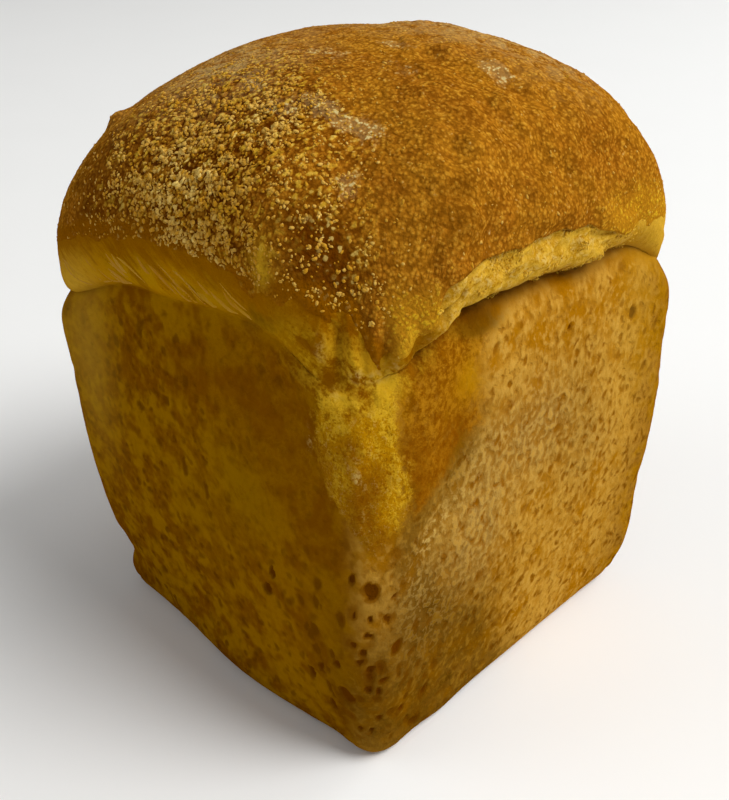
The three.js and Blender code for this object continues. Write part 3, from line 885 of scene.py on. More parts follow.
def body_relief(form, sizes, p):
    """How far the body stands out, and the values its finish reads. Pits and small ridges on the
    walls, crags in the torn shred, slanting striae on the other bands."""
    out = form.relief(p)
    edge = form.crust_line(p.s, p.t)
    above = p.z - form.groove(p.s, p.t)
    run = form.near_run(p.s, p.t)
    shred = form.shred(p.s, p.t)
    smooth = form.smooth_corner(p.s, p.t, p.z)
    on_wall = ease(1, 4, p.z) * (1 - ease(-5, -1, above))
    olive, brown = spotted(OLIVE_SPOTS, run, p.z), spotted(BROWN_SPOTS, run, p.z) * on_wall
    lee = np.clip(ease(*LEE_LEFT, run) + ease(*LEE_RIGHT, run), 0, 1)
    low_corner = bell(run / LOW_CORNER["spread"]) * (1 - ease(*LOW_CORNER["heights"], p.z))
    pitted = on_wall * (1 - smooth) * (1 - 0.6 * olive) * (1 - 0.75 * brown) * (1 - 0.35 * low_corner)
    pore = wall_pores(sizes, p, run, pitted, lee, low_corner)
    out -= sizes.pore_depth / MM * pore
    out += on_wall * swell(p, WALL_LUMPS)

    band = ease(-0.5, 2, above)
    fresh = shred * band * (1 - ease(-1, 0.5, p.z - edge))
    for stand, slant, long, wide, shift in SHRED_RIDGES:
        out += fresh * stand * (1 - 2 * np.abs(striae(-run, p.z + shift, slant, long, wide)))
    out += fresh * swell(p, SHRED_LUMPS, 5)
    crevice = shred * bell((above - CREVICE["above"]) / CREVICE["wide"])
    crevice = crevice * ease(-0.6, 0.3, waves(p.x / 6, p.y / 6, 2.2))
    crack = crack_share(run, p.z) * (shred > 0) * band
    out -= CREVICE["depth"] * crevice + CRACK["depth"] * crack
    stand, long, wide = BAND_STRIAE
    out += stand * band * (1 - shred) * striae(run, p.z, BAND_SLANT, long, wide)
    crumple = bell(run / CRUMPLE_SPREAD) * ease(-7, -1, above) * (1 - ease(2, 4, p.z - edge))
    clear = crumple * (1 - 0.7 * bell(above / 2))
    for stand, long, wide in CRUMPLE_STRIAE:
        out += clear * stand * striae(run, p.z, CORNER_SLANT, long, wide)
    out += (clear + 0.5 * smooth) * swell(p, CORNER_LUMPS, 3)
    out -= UNDERCUT * mix(ease(*UNDER_CRUST, p.z - edge), ease(0, 1.6, p.z - edge), shred)
    values = dict(pore=pore, pitted=pitted, torn=shred * band, bare=band * (1 - shred))
    values |= corner_values(p, run, smooth, on_wall)
    values |= dict(
        low=(1 - ease(-2, 9, edge - p.z)) * (1 - shred) * (1 - between(run, **GOLDEN_END)),
        lee=lee,
        olive=olive,
        brown=brown,
        tan=spotted(TAN_SPOTS, run, p.z),
        dark=spotted(DARK_SPOTS, run, p.z),
        crease=spotted(CREASE_SPOTS, run, p.z),
        bright=spotted(BRIGHT_SPOTS, run, p.z),
        dull=spotted(DULL_SPOTS, run, p.z),
        shade=spotted(SHADE_SPOTS, run, p.z),
        gold=spotted(GOLD_SPOTS, run, p.z),
        # Painted shade in the crevice along the foot of the torn shred and in its crack
        hollow_shade=np.clip(shred * bell((above + 0.8) / 2.2) + crack, 0, 1),
        behind=ease(95, 125, np.abs(run)),
        crumple=crumple,
    )
    return out, values


def pit_depth(p, sizes, pits, share):
    """Irregular pits, one to a warped cell where its random number is below share: 1 deep to 0."""
    spacing = pits["spacing"]
    bend = swell(p, (0.42 * spacing, 1.3 * spacing, 1.5 * spacing), 4)
    nearest, _, tone = cells(p.x + bend, p.y - bend, pits["stretch"] * p.z + bend, spacing)
    other = tone * 57.3 - np.floor(tone * 57.3)
    radius = pits["size"] * sizes.pore_size * mix(0.45, 1.15, tone)
    return (1 - ease(0.3 * radius, radius + 0.16, nearest)) * ease(-0.05, 0.05, share - other)


def wall_pores(sizes, p, run, pitted, lee, low_corner):
    """The wall's pores: soft wide ones, thicker low on the near corner, and the named pores."""
    thick = mix(*WIDE_PITS["share"], lee) + 0.5 * low_corner
    wide = mix(*WIDE_PITS["depth"], lee) * np.clip(pitted + 0.4 * low_corner, 0, 1)
    pore = wide * pit_depth(p, sizes, WIDE_PITS, thick)
    low = LOW_PITS["depth"] * low_corner
    pore = np.maximum(pore, low * pit_depth(p, sizes, LOW_PITS, LOW_PITS["share"]))
    rag = swell(p, PORE_RAG)
    for table, strength in ((CORNER_PORES, 1), (GOUGES, GOUGE_DEPTH)):
        for middle, height, wide, high, tilt in table:
            across, along = run - middle, p.z - height
            u = (across * np.cos(tilt) - along * np.sin(tilt)) / wide
            v = (across * np.sin(tilt) + along * np.cos(tilt)) / high
            pore = np.maximum(pore, strength * (1 - ease(0.6, 1.45, np.hypot(u, v) + rag)))
    return pore


def corner_values(p, run, smooth, on_wall):
    """Where the pinched corner is nose, facet and dark strip, with wandering borders."""
    wander = sum(swell(p, wave) for wave in CORNER_WANDER)
    run = run + wander
    z = p.z + wander
    left, right = NOSE_SIDES
    narrow = ease(*STRIP_HEIGHTS, z)
    strip = bell((run - mix(-12, -26, narrow)) / mix(6, 15, narrow))
    nose = smooth * (1 - ease(right - 4, right + 4, run)) * ease(left - 4, left + 4, run)
    return dict(
        nose=nose * (1 - ease(NOSE_TOP - 2, NOSE_TOP + 5, z)),
        facet=smooth * ease(right - 4, right + 4, run),
        strip=strip * ease(58, 76, z) * on_wall * (1 - smooth),
    )


def body_skin(form):
    """Rows of the body from the floor to under the crust."""
    s, t = round_square(BODY_COLUMNS)
    groove, edge = form.groove(s, t), form.crust_line(s, t)
    foot = form.foot_skin(np.linspace(0, 1, FOOT_ROWS)[:, None], s, t)
    climb = 1 - (1 - np.arange(1, WALL_ROWS + 1) / WALL_ROWS) ** 1.08
    wall = form.wall_skin(mix(FOOT_FILLET, groove, climb[:, None]), s, t)
    belly = form.groove_skin((np.arange(1, GROOVE_ROWS + 1) / GROOVE_ROWS)[:, None], s, t)
    start = groove + BELLY_RISE
    share = (np.arange(1, BAND_ROWS + 1) / BAND_ROWS)[:, None]
    band = form.skin_at(mix(start, np.maximum(edge, start) + UNDER_CRUST[1], share), s, t)
    last = form.dome_reach(band.z[-1], s, t)
    hidden = form.dome_skin(last * (1 - np.arange(1, HIDDEN_RINGS + 1)[:, None] / (HIDDEN_RINGS + 1)), s, t)
    return Skin.stack([foot, wall, belly, band, hidden])


def add_body(form, sizes, colours):
    """The loaf's body as one closed skin: rows round the outline, a point in the middle of the
    foot and one under the crust."""
    p = body_skin(form)
    out, values = body_relief(form, sizes, p)
    out = np.where(p.z > 0, out, 0)
    points = form.place(p, out)
    rows, columns = points.shape[:2]
    grid = points.reshape(-1, 3)
    points = np.concatenate([grid, [[0, 0, 0], points[-1].mean(axis=0)]])
    count = rows * columns
    triangles = np.concatenate([
        fan_faces(np.arange(columns), count, down=True),
        fan_faces(np.arange(count - columns, count), count + 1),
    ])
    for key, value in values.items():
        values[key] = np.append(np.broadcast_to(value, (rows, columns)).ravel(), [0, 0])
    finish = wall_finish(colours)
    return mesh_piece("loaf_body", points, grid_faces(rows, columns), triangles, finish, values)


def crust_skin(form):
    """Points of the crust: rings from its edge up to the cap, then a square grid over the top."""
    s, t = round_square(CRUST_COLUMNS)
    line = form.crust_line(s, t) - CRUST_TUCK * (1 - form.shred(s, t))
    top = form.dome_skin(np.full(s.shape, CAP_REACH), s, t).z
    share = (np.arange(CRUST_RINGS) / CRUST_RINGS)[:, None]
    rings = form.skin_at(mix(line, top, share), s, t)
    side = CRUST_COLUMNS[0]
    a = np.linspace(-1, 1, side + 1)
    across, along = np.meshgrid(a, a, indexing="ij")
    ring = np.maximum(np.abs(across), np.abs(along))
    safe = np.where(ring == 0, 1, ring)
    cap = form.dome_skin(CAP_REACH * ring, np.where(ring == 0, 1, across / safe), along / safe)
    return rings, cap


def crust_relief(form, sizes, p):
    """How far the crust stands out, and the values its finish reads: a lip over the shred, a soft
    ragged edge elsewhere, and blisters, one to a cell, tallest where the crust is coarse."""
    out = form.relief(p)
    above = p.z - form.crust_line(p.s, p.t)
    shred = form.shred(p.s, p.t)
    run = form.near_run(p.s, p.t)
    lip = form.crust_lip * shred * (1 - ease(*LIP_END, above))
    ragged = above + swell(p, CRUST_RAG)
    out += mix(mix(*CRUST_STAND, ease(*CRUST_RISING, ragged)), SHRED_STAND, shred) + lip
    coarse = spotted(COARSE_SPOTS, p.x, p.y)
    bend = swell(p, BLISTER_BEND)
    nearest, second, tone = cells(p.x + bend, p.y - bend, p.z + bend, sizes.blister_size / MM)
    blister = (1 - ease(0.1, 0.66, nearest)) * mix(0.15, 1, tone)
    crevice = 1 - ease(0.02, 0.34, second - nearest)
    rising = ease(-1.5, 1.5, above)
    height = sizes.blister_height / MM * mix(0.3, 1.2, coarse)
    out += height * rising * (blister - 0.5 * crevice)
    out += rising * swell(p, CRUST_LUMPS)
    finger = sum(
        share * bell((run - a + wobble * waves(p.z / 2, 0, 1)) / wide) * bell((p.z - b) / high)
        for a, b, wide, high, share, wobble in FINGERS
    )
    tongue = between(run, AMBER_TONGUE["start"], AMBER_TONGUE["end"])
    tongue = tongue * (1 - ease(*AMBER_TONGUE["heights"], p.z))
    far_end = AMBER_END["share"] * between(run, AMBER_END["start"], AMBER_END["end"])
    amber = np.clip(tongue + far_end * (1 - ease(*AMBER_END["above"], above)), 0, 1)
    # The far top painted paler as a sheen, added to the paler patches
    far_top_sheen = ease(*FAR_TOP_SHEEN["back"], p.y - 0.3 * p.x) * ease(*FAR_TOP_SHEEN["heights"], p.z)
    whitish = FAR_TOP_SHEEN["share"] * far_top_sheen + spotted(PALER_SPOTS, p.x, p.y)
    values = dict(
        blister=blister,
        crevice=crevice,
        coarse=coarse,
        pale=spotted(PALE_SPOTS, p.x, p.y),
        flour=spotted(FLOUR_SPOTS, p.x, p.y),
        browned=spotted(BROWNED_SPOTS, p.x, p.y),
        low=(1 - ease(0, 8, above)) * (1 - shred) * (1 - amber) * (1 - between(run, **GOLDEN_END)),
        finger=finger,
        paler_and_sheen=np.clip(whitish, 0, 1),
        amber=amber,
    )
    return out, values


def add_crust(form, sizes, colours):
    """The baked crust as a closed cap: rings and a grid outside, a lip turned in under it."""
    rings, cap = crust_skin(form)
    ring_out, ring_values = crust_relief(form, sizes, rings)
    cap_out, cap_values = crust_relief(form, sizes, cap)
    outer = form.place(rings, ring_out)
    top = form.place(cap, cap_out)
    edge = form.skin_at(rings.z[:1], rings.s[:1], rings.t[:1])
    lips = [form.place(edge, ring_out[:1] - drop) for drop in LIP_DROPS]
    rows = np.concatenate([*lips, outer])
    count, columns = rows.shape[:2]
    side = columns // 4
    index = np.full(top.shape[:2], -1)
    step = np.arange(columns)
    turn, near, far = step // side, step % side, np.full(columns, side)
    first = np.zeros(columns, int)
    i = np.choose(turn, [far, side - near, first, near])
    j = np.choose(turn, [near, far, side - near, first])
    total = count * columns
    inner = np.zeros(index.shape, bool)
    inner[1:-1, 1:-1] = True
    index[inner] = total + columns + np.arange(inner.sum())
    index[i, j] = total + step
    rim = top[i, j][None]
    points = np.concatenate([rows.reshape(-1, 3), rim[0], top[inner], rows[0].mean(axis=0)[None]])
    quads = np.concatenate([
        grid_faces(count + 1, columns),
        np.stack([index[:-1, :-1], index[1:, :-1], index[1:, 1:], index[:-1, 1:]], axis=-1).reshape(-1, 4),
    ])
    triangles = fan_faces(step, len(points) - 1, down=True)
    values = {}
    for key, field in ring_values.items():
        lip = np.repeat(field[:1], len(lips), axis=0).ravel()
        peak = cap_values[key]
        values[key] = np.concatenate([lip, field.ravel(), peak[i, j], peak[inner], [0]])
    return mesh_piece("dome_crust", points, quads, triangles, crust_finish(colours), values)


def lump():
    """A closed lump: two staggered rings of points between two poles, pointing out."""
    low = np.arange(LUMP_SIDES)
    turn = low * 2 * np.pi / LUMP_SIDES
    rings = []
    for angle, (radius, height) in ((turn, LOW_RING), (turn + np.pi / LUMP_SIDES, HIGH_RING)):
        level = np.full(LUMP_SIDES, height)
        rings.append(np.stack([radius * np.cos(angle), radius * np.sin(angle), level], axis=-1))
    points = np.concatenate([*rings, [[0, 0, height] for height in POLES]])
    high, after = low + LUMP_SIDES, np.roll(low, -1)
    corners = ((low, after, high), (after, after + LUMP_SIDES, high))
    sides = [np.stack(triangle, axis=-1) for triangle in corners]
    bottom, top = 2 * LUMP_SIDES, 2 * LUMP_SIDES + 1
    faces = np.concatenate([*sides, fan_faces(low, bottom, down=True), fan_faces(high, top)])
    return points, faces


def frames(place, u, v):
    """Points of a surface place(u, v), with two tangents and the way out, by central differences."""
    step = 1e-3
    along = place(u + step, v) - place(u - step, v)
    up = place(u, v + step) - place(u, v - step)
    along /= np.linalg.norm(along, axis=-1, keepdims=True)
    out = np.cross(along, up)
    out /= np.linalg.norm(out, axis=-1, keepdims=True)
    return place(u, v), along, np.cross(out, along), out


def scatter_lumps(name, draw, place, u, v, sizes, tones, finish):
    """Lumps with their own sizes (along, across, out), spins and uneven corners, joined as one."""
    shape, faces = lump()
    centre, along, up, out = frames(place, u, v)
    spin = draw.uniform(0, 2 * np.pi, len(u))[:, None]
    first = along * np.cos(spin) + up * np.sin(spin)
    second = up * np.cos(spin) - along * np.sin(spin)
    local = shape[None] * draw.uniform(0.72, 1.28, (len(u), len(shape), 1)) * sizes[:, None, :]
    turned = [local[..., n : n + 1] * axis[:, None, :] for n, axis in enumerate((first, second, out))]
    points = centre[:, None, :] + sum(turned)
    triangles = faces[None] + (np.arange(len(u)) * len(shape))[:, None, None]
    values = {"tone": np.repeat(tones, len(shape))}
    quads = np.empty((0, 4), int)
    return mesh_piece(name, points.reshape(-1, 3), quads, triangles.reshape(-1, 3), finish, values)


def dome_place(form, sizes):
    """The crust's outside as a surface of steps round the loaf and the lean d, 0 belly to 1 peak."""

    def place(step, d):
        p = dome_point(form, step, d)
        return form.place(p, crust_relief(form, sizes, p)[0])

    return place


def dome_point(form, step, d):
    """A skin point of the dome by steps round the loaf and its lean d."""
    across, rise = np.cos(d * QUARTER), np.sin(d * QUARTER)
    reach = across * (across**DOME_POWER + rise**DOME_POWER) ** (-1 / DOME_POWER)
    return form.dome_skin(reach, *square_point(step))


def body_place(form, sizes):
    """The body's outside as a surface of steps round the loaf and the height in decimetres."""

    def place(step, height):
        p = form.skin_at(height * 100, *square_point(step))
        return form.place(p, body_relief(form, sizes, p)[0])

    return place


def lump_sizes(draw, wide, along, out):
    """Half sizes along, across and out: the widths, and draws from the ranges along and out."""
    long = wide * draw.uniform(*along, len(wide))
    return np.stack([long, wide, wide * draw.uniform(*out, len(wide))], axis=-1)


def add_grains(form, sizes, colours):
    """Pale grains baked onto the crust, thickest where it is coarse, thin elsewhere."""
    draw = np.random.default_rng(GRAIN_SEED)
    tries = sizes.grains * TRIES
    step, d = draw.uniform(0, 4, tries), draw.uniform(0.08, 1, tries)
    p = dome_point(form, step, d)
    above = p.z - form.crust_line(p.s, p.t)
    coarse = spotted(COARSE_SPOTS, p.x, p.y)
    clump = ease(-0.35, 0.3, swell(p, GRAIN_CLUMPS))
    few, more = GRAIN_SHARE
    chance = (few + more * coarse**1.2 * mix(0.22, 1, clump)) * np.cos(d * QUARTER) * (above > 0)
    keep = np.flatnonzero(draw.random(tries) < chance)[: sizes.grains]
    pale = spotted(PALE_SPOTS, p.x, p.y)[keep]
    wide = mix(*GRAIN_WIDTH, draw.random(keep.size) ** 2.2) * mix(0.8, 1.25, coarse[keep])
    size = lump_sizes(draw, wide, (1, 1.8), (0.45, 0.8))
    tones = 0.3 * draw.random(keep.size) ** 2 + 0.55 * pale * draw.random(keep.size) ** 1.5
    tones = np.clip(tones + 0.25 * (clump[keep] - 0.5), 0, 1)
    place, finish = dome_place(form, sizes), grain_finish(colours)
    return scatter_lumps("crust_grains", draw, place, step[keep], d[keep], size, tones, finish)


def add_crumbs(form, sizes, colours):
    """Crumbs and torn tufts on the shred, most of them in clumps along its crevice."""
    draw = np.random.default_rng(CRUMB_SEED)
    tries = sizes.crumbs * TRIES
    step = draw.uniform(0, 2, tries)
    s, t = square_point(step)
    groove, edge = form.groove(s, t), form.crust_line(s, t)
    share = draw.random(tries)
    z = mix(groove - 0.8, edge, share)
    clump = ease(0, 0.5, waves(t * 12, s * 12, z / 2.5))
    chance = form.shred(s, t) * clump * mix(1, 0.35, ease(0.1, 0.5, share))
    keep = np.flatnonzero(draw.random(tries) < chance)[: sizes.crumbs]
    wide = draw.uniform(*CRUMB_WIDTH, keep.size)
    size = lump_sizes(draw, wide, (1, 2.4), (0.4, 0.9))
    tones = draw.random(keep.size)
    place, finish = body_place(form, sizes), crumb_finish(colours)
    return scatter_lumps("shred_crumbs", draw, place, step[keep], z[keep] / 100, size, tones, finish)


def ribbons(name, centre, side, out, wide, high, tones, finish):
    """Closed lens-section ribbons along rows of points, with half widths and heights per point."""
    across = np.stack([np.zeros(wide.shape), -wide, np.zeros(wide.shape), wide], axis=-1)
    lift = np.stack([high, -0.05 * high, -high, -0.05 * high], axis=-1)
    points = centre[:, :, None] + across[..., None] * side[:, :, None]
    points = points + lift[..., None] * out[:, :, None]
    count, stations = wide.shape
    corner = np.arange(count * stations * 4).reshape(count, stations, 4)
    low, high = corner[:, :-1], corner[:, 1:]
    sides = np.stack([low, high, np.roll(high, -1, axis=2), np.roll(low, -1, axis=2)], axis=-1)
    quads = np.concatenate([sides.reshape(-1, 4), corner[:, 0], corner[:, -1, ::-1]])
    values = {"tone": np.repeat(tones, stations * 4)}
    triangles = np.empty((0, 3), int)
    return mesh_piece(name, points.reshape(-1, 3), quads, triangles, finish, values, smooth=False)


def side_strip(form, sizes, run, z):
    """Points of the body along rows of runs and heights, with the ways across the rows and out."""
    step = np.where(run < 0, 4, 0) + run / (2 * form.half_rim)
    centre, _, _, out = frames(body_place(form, sizes), step, z / 100)
    ahead = np.gradient(centre, axis=1)
    ahead /= np.linalg.norm(ahead, axis=-1, keepdims=True)
    across = np.cross(out, ahead)
    across /= np.linalg.norm(across, axis=-1, keepdims=True)
    return centre, across, out


def add_strands(form, sizes, colours):
    """Strands of stretched dough on the -Y band: each runs down towards the near corner, a flat
    lens in section, tapered at both ends."""
    draw = np.random.default_rng(STRAND_SEED)
    count = sizes.strands
    start = -draw.uniform(*STRAND_AWAY, count)[:, None]
    slope = np.radians(draw.uniform(*STRAND_SLOPE, count)[:, None])
    long = draw.uniform(*STRAND_LONG, count)[:, None]
    share = np.linspace(0, 1, STRAND_STATIONS)[None]
    run = start + long * np.cos(slope) * share
    s, t = square_point(4 + run / (2 * form.half_rim))
    groove, edge = form.groove(s, t), form.crust_line(s, t)
    top = mix(groove[:, :1], edge[:, :1], draw.uniform(*STRAND_START, count)[:, None])
    bend = draw.uniform(-STRAND_BEND, STRAND_BEND, count)[:, None] * np.sin(np.pi * share)
    z = np.clip(top - long * np.sin(slope) * share + bend, groove + 1, edge - 1)
    taper = np.sin(np.pi * np.clip(share, 0.03, 0.97)) ** 0.6
    wide = draw.uniform(*STRAND_WIDE, count)[:, None] * taper
    high = draw.uniform(*STRAND_HIGH, count)[:, None] * taper
    strip = side_strip(form, sizes, run, z)
    return ribbons("dough_strands", *strip, wide, high, draw.random(count), strand_finish(colours))


class Value:
    """A socket that carries a number: arithmetic on it adds Math nodes."""

    def __init__(self, finish, socket):
        self.finish = finish
        self.socket = socket

    def __add__(self, other):
        return self.finish.maths("ADD", self, other)

    __radd__ = __add__

    def __mul__(self, other):
        return self.finish.maths("MULTIPLY", self, other)

    __rmul__ = __mul__

    def __sub__(self, other):
        return self.finish.maths("SUBTRACT", self, other)

    def __rsub__(self, other):
        return self.finish.maths("SUBTRACT", other, self)

    def ease(self, low, high, start=0.0, end=1.0):
        """A smooth step from start at low to end at high."""
        settings = dict(interpolation_type="SMOOTHSTEP")
        inputs = {"Value": self, "From Min": low, "From Max": high, "To Min": start, "To Max": end}
        return self.finish.node("ShaderNodeMapRange", settings, inputs)

    def top(self, other):
        """The greater of the two."""
        return self.finish.maths("MAXIMUM", self, other)


class Finish:
    """A material whose node tree is written as expressions."""

    def __init__(self, name):
        self.material = bpy.data.materials.new(name)
        self.material.use_nodes = True
        self.tree = self.material.node_tree
        self.tree.nodes.clear()
        self.place = self.node("ShaderNodeTexCoord", output="Object")

    def node(self, kind, settings=None, inputs=None, output=0):
        """Any node: its settings first, then the values or links of its sockets."""
        made = self.tree.nodes.new(kind)
        for name, setting in (settings or {}).items():
            setattr(made, name, setting)
        for key, value in (inputs or {}).items():
            if isinstance(value, Value):
                self.tree.links.new(value.socket, made.inputs[key])
            else:
                made.inputs[key].default_value = value
        return None if output is None else Value(self, made.outputs[output])

    def maths(self, operation, a, b):
        """A Math node on two numbers."""
        return self.node("ShaderNodeMath", dict(operation=operation), {0: a, 1: b})

    def blend(self, a, b, share):
        """From colour a to colour b by share."""
        settings = dict(data_type="RGBA")
        return self.node("ShaderNodeMix", settings, {0: share, 6: a, 7: b}, output=2)

    def layers(self, tint, *coats):
        """A tint with coats laid over it in turn, each a colour and its share."""
        for coat, share in coats:
            tint = self.blend(tint, coat, share)
        return tint

    def attribute(self, name):
        """A value that the mesh keeps for each point."""
        return self.node("ShaderNodeAttribute", dict(attribute_name=name), output="Fac")

    def slanted(self, degrees, stretch):
        """The object's coordinates, turned, and drawn out along the turned axes."""
        inputs = {"Vector": self.place, "Rotation": np.radians(degrees), "Scale": stretch}
        return self.node("ShaderNodeMapping", dict(vector_type="TEXTURE"), inputs)

    def vector(self, operation, a, b):
        """A Vector Math node on two vectors."""
        return self.node("ShaderNodeVectorMath", dict(operation=operation), {0: a, 1: b})

    def warped(self, millimetres, far, scale=(1, 1, 1)):
        """The object's coordinates, scaled along each axis and pushed about by far millimetres."""
        place = self.node("ShaderNodeMapping", inputs={"Vector": self.place, "Scale": scale})
        inputs = {"Vector": self.place, "Scale": 1 / (millimetres * MM), "Detail": 1.0}
        push = self.node("ShaderNodeTexNoise", inputs=inputs, output="Color")
        push = self.vector("SUBTRACT", push, (0.5, 0.5, 0.5))
        push = self.vector("MULTIPLY", push, (far * MM,) * 3)
        return self.vector("ADD", place, push)

    def noise(self, millimetres, detail=2.0, rough=0.5, place=None):
        """Cloudy noise from 0 to 1 with features of that length."""
        inputs = {"Vector": place or self.place, "Scale": 1 / (millimetres * MM)}
        inputs |= {"Detail": detail, "Roughness": rough}
        return self.node("ShaderNodeTexNoise", inputs=inputs)

    def spots(self, millimetres, place):
        """Distance to the nearest of random points, in point spacings."""
        inputs = {"Vector": place, "Scale": 1 / (millimetres * MM)}
        return self.node("ShaderNodeTexVoronoi", inputs=inputs, output="Distance")

    def bump(self, height, millimetres):
        """A Bump node, where a height of 1 stands out by that many millimetres."""
        inputs = {"Height": height, "Distance": millimetres * MM, "Strength": 1.0}
        return self.node("ShaderNodeBump", inputs=inputs)

    def surface(self, colour, roughness, normal, uniform=None):
        """A Principled shader, with the settings that are the same all over set on its sockets."""
        inputs = {"Base Color": colour, "Roughness": roughness, "Normal": normal, **(uniform or {})}
        shader = self.node("ShaderNodeBsdfPrincipled", inputs=inputs)
        self.node("ShaderNodeOutputMaterial", inputs={"Surface": shader}, output=None)
        return self.material


def linear(*colour):
    """A colour given as seen on a screen, from 0 to 255, as linear light with full opacity."""
    share = np.array(colour) / 255
    light = np.where(share <= 0.04045, share / 12.92, ((share + 0.055) / 1.055) ** 2.4)
    return (*light.tolist(), 1.0)


WARM_SHEEN = {"Specular Tint": (1.0, 0.72, 0.2, 1.0), "Specular IOR Level": 0.1}
NO_SHEEN = {"Specular IOR Level": 0.0}


def tin_wall(m, colours):
    """The wall itself: amber to straw, tan, olive, brown or dark in soft patches, with paler ridges
    between its holes, dabs and wide pits. Away from the light it takes darker copies of its colours,
    and low on the near corner its dark patches, both painted shade."""
    tan = m.attribute("tan")
    straw = (m.cloud * 0.8 + m.patch * 0.8).ease(0.62, 0.94)
    light_side = m.blend(colours.wall_amber, colours.wall_straw, straw)
    light_side = m.blend(light_side, colours.wall_tan, tan * (0.75 + m.wander))
    # Away from the light: darker colours with browner patches, painted shade
    rust = (m.cloud * 0.5 + m.patch * 0.9).ease(0.58, 0.82)
    painted_shade_side = m.blend(colours.wall_painted_shade, colours.wall_rust, rust)
    # The dark strip: browned dough, in part painted shade of its valley
    brown = m.attribute("brown").top(m.attribute("strip"))
    ridges = m.worm.ease(0.5, 0.68) * m.pitted * (1 - m.dark * 0.3)
    m.holes = m.worm.ease(0.47, 0.33) * m.pitted * m.patch.ease(0.3, 0.6, 0.45, 1)
    dabs = (m.spots(2.9, m.warped(1.8, 1.4, (1, 1, 0.85))) + (m.worm - 0.5) * 0.5).ease(0.4, 0.1)
    m.dabs = dabs * m.pitted * (m.patch * 0.6 + m.cloud * 0.5).ease(0.42, 0.65, 0.12, 1)
    wide = (m.spots(4.6, m.warped(3, 2.4, (1, 1, 0.8))) + (m.worm - 0.5) * 0.35).ease(0.28, 0.1)
    lines = m.worm.ease(0.5, 0.55) * m.worm.ease(0.65, 0.58)
    # Ridges and pits away from the light and in the dark patches take darker copies: painted shade
    vein = m.blend(colours.wall_vein, colours.vein_painted_shade, m.lee.top(m.dark * 0.7))
    pit = m.blend(colours.pit_brown, colours.pit_painted_shade, m.lee.top(m.dark))
    pore = m.attribute("pore")
    return m.layers(
        m.blend(light_side, painted_shade_side, m.lee),
        (colours.wall_olive, m.attribute("olive") * m.grain.ease(0.3, 0.6, 0.5, 0.9)),
        (colours.wall_brown, brown * m.grain.ease(0.7, 0.3, 0.5, 0.9)),
        # Dark patches, painted shade at the foot of the near corner
        (colours.wall_dark, m.dark * (0.8 + m.wander * 0.6)),
        (vein, ridges * (0.6 - m.lee * 0.35)),
        (pit, m.holes * (0.5 - m.lee * 0.2)),
        (pit, m.dabs * (0.9 - m.lee * 0.15)),
        (pit, wide * m.pitted * (0.9 - m.lee * 0.1)),
        (colours.crease_pale, lines * tan * m.pitted.top(m.dark * 0.5) * 0.2),
        (pit, pore.ease(0.05, 0.35) * 0.85),
        (colours.pore_brown, pore.ease(0.4, 0.8) * 0.9),
    )


def pinched_corner(m, colours, tint):
    """The smooth dough of the pinched corner over the wall's tint: a brown facet beaded with amber
    and a yellow nose with brown and whitish grain, both with wandering borders."""
    facet, nose = m.attribute("facet"), m.attribute("nose")
    beads = (m.noise(1.3, 3, 0.6) + m.fine * 0.4 + (m.patch - 0.5) * 0.5).ease(0.5, 0.92)
    facet_tint = m.blend(colours.facet_brown, colours.facet_amber, beads * (1 - m.dark * 0.7))
    facet_tint = m.blend(facet_tint, colours.nose_gold, m.bright)
    yellow = (beads * 0.9 + m.patch * 0.4 + m.bright * 0.5).ease(0.35, 1.15)
    nose_tint = m.layers(
        m.blend(colours.nose_gold, colours.nose_yellow, yellow),
        (colours.facet_brown, (m.attribute("dull") + m.wander * 0.6).ease(0.15, 1.0) * 0.8),
        (colours.facet_brown, (m.fine * 0.6 + m.grain * 0.4).ease(0.45, 0.3) * 0.45),
        (colours.facet_brown, (m.worm * 0.5 + m.grain * 0.5).ease(0.5, 0.36) * 0.55),
        (colours.crease_pale, (m.worm * 0.5 + m.fine * 0.5).ease(0.54, 0.66) * 0.22),
    )
    over_facet = (facet + m.wander * 1.3).ease(0.15, 0.95)
    over_nose = (nose * 1.1 + m.wander * 0.9 + (m.grain - 0.5) * 0.8).ease(0.15, 0.95)
    return m.layers(
        tint,
        (facet_tint, over_facet * facet.ease(0, 0.15)),
        (nose_tint, over_nose * nose.ease(0, 0.15)),
    )


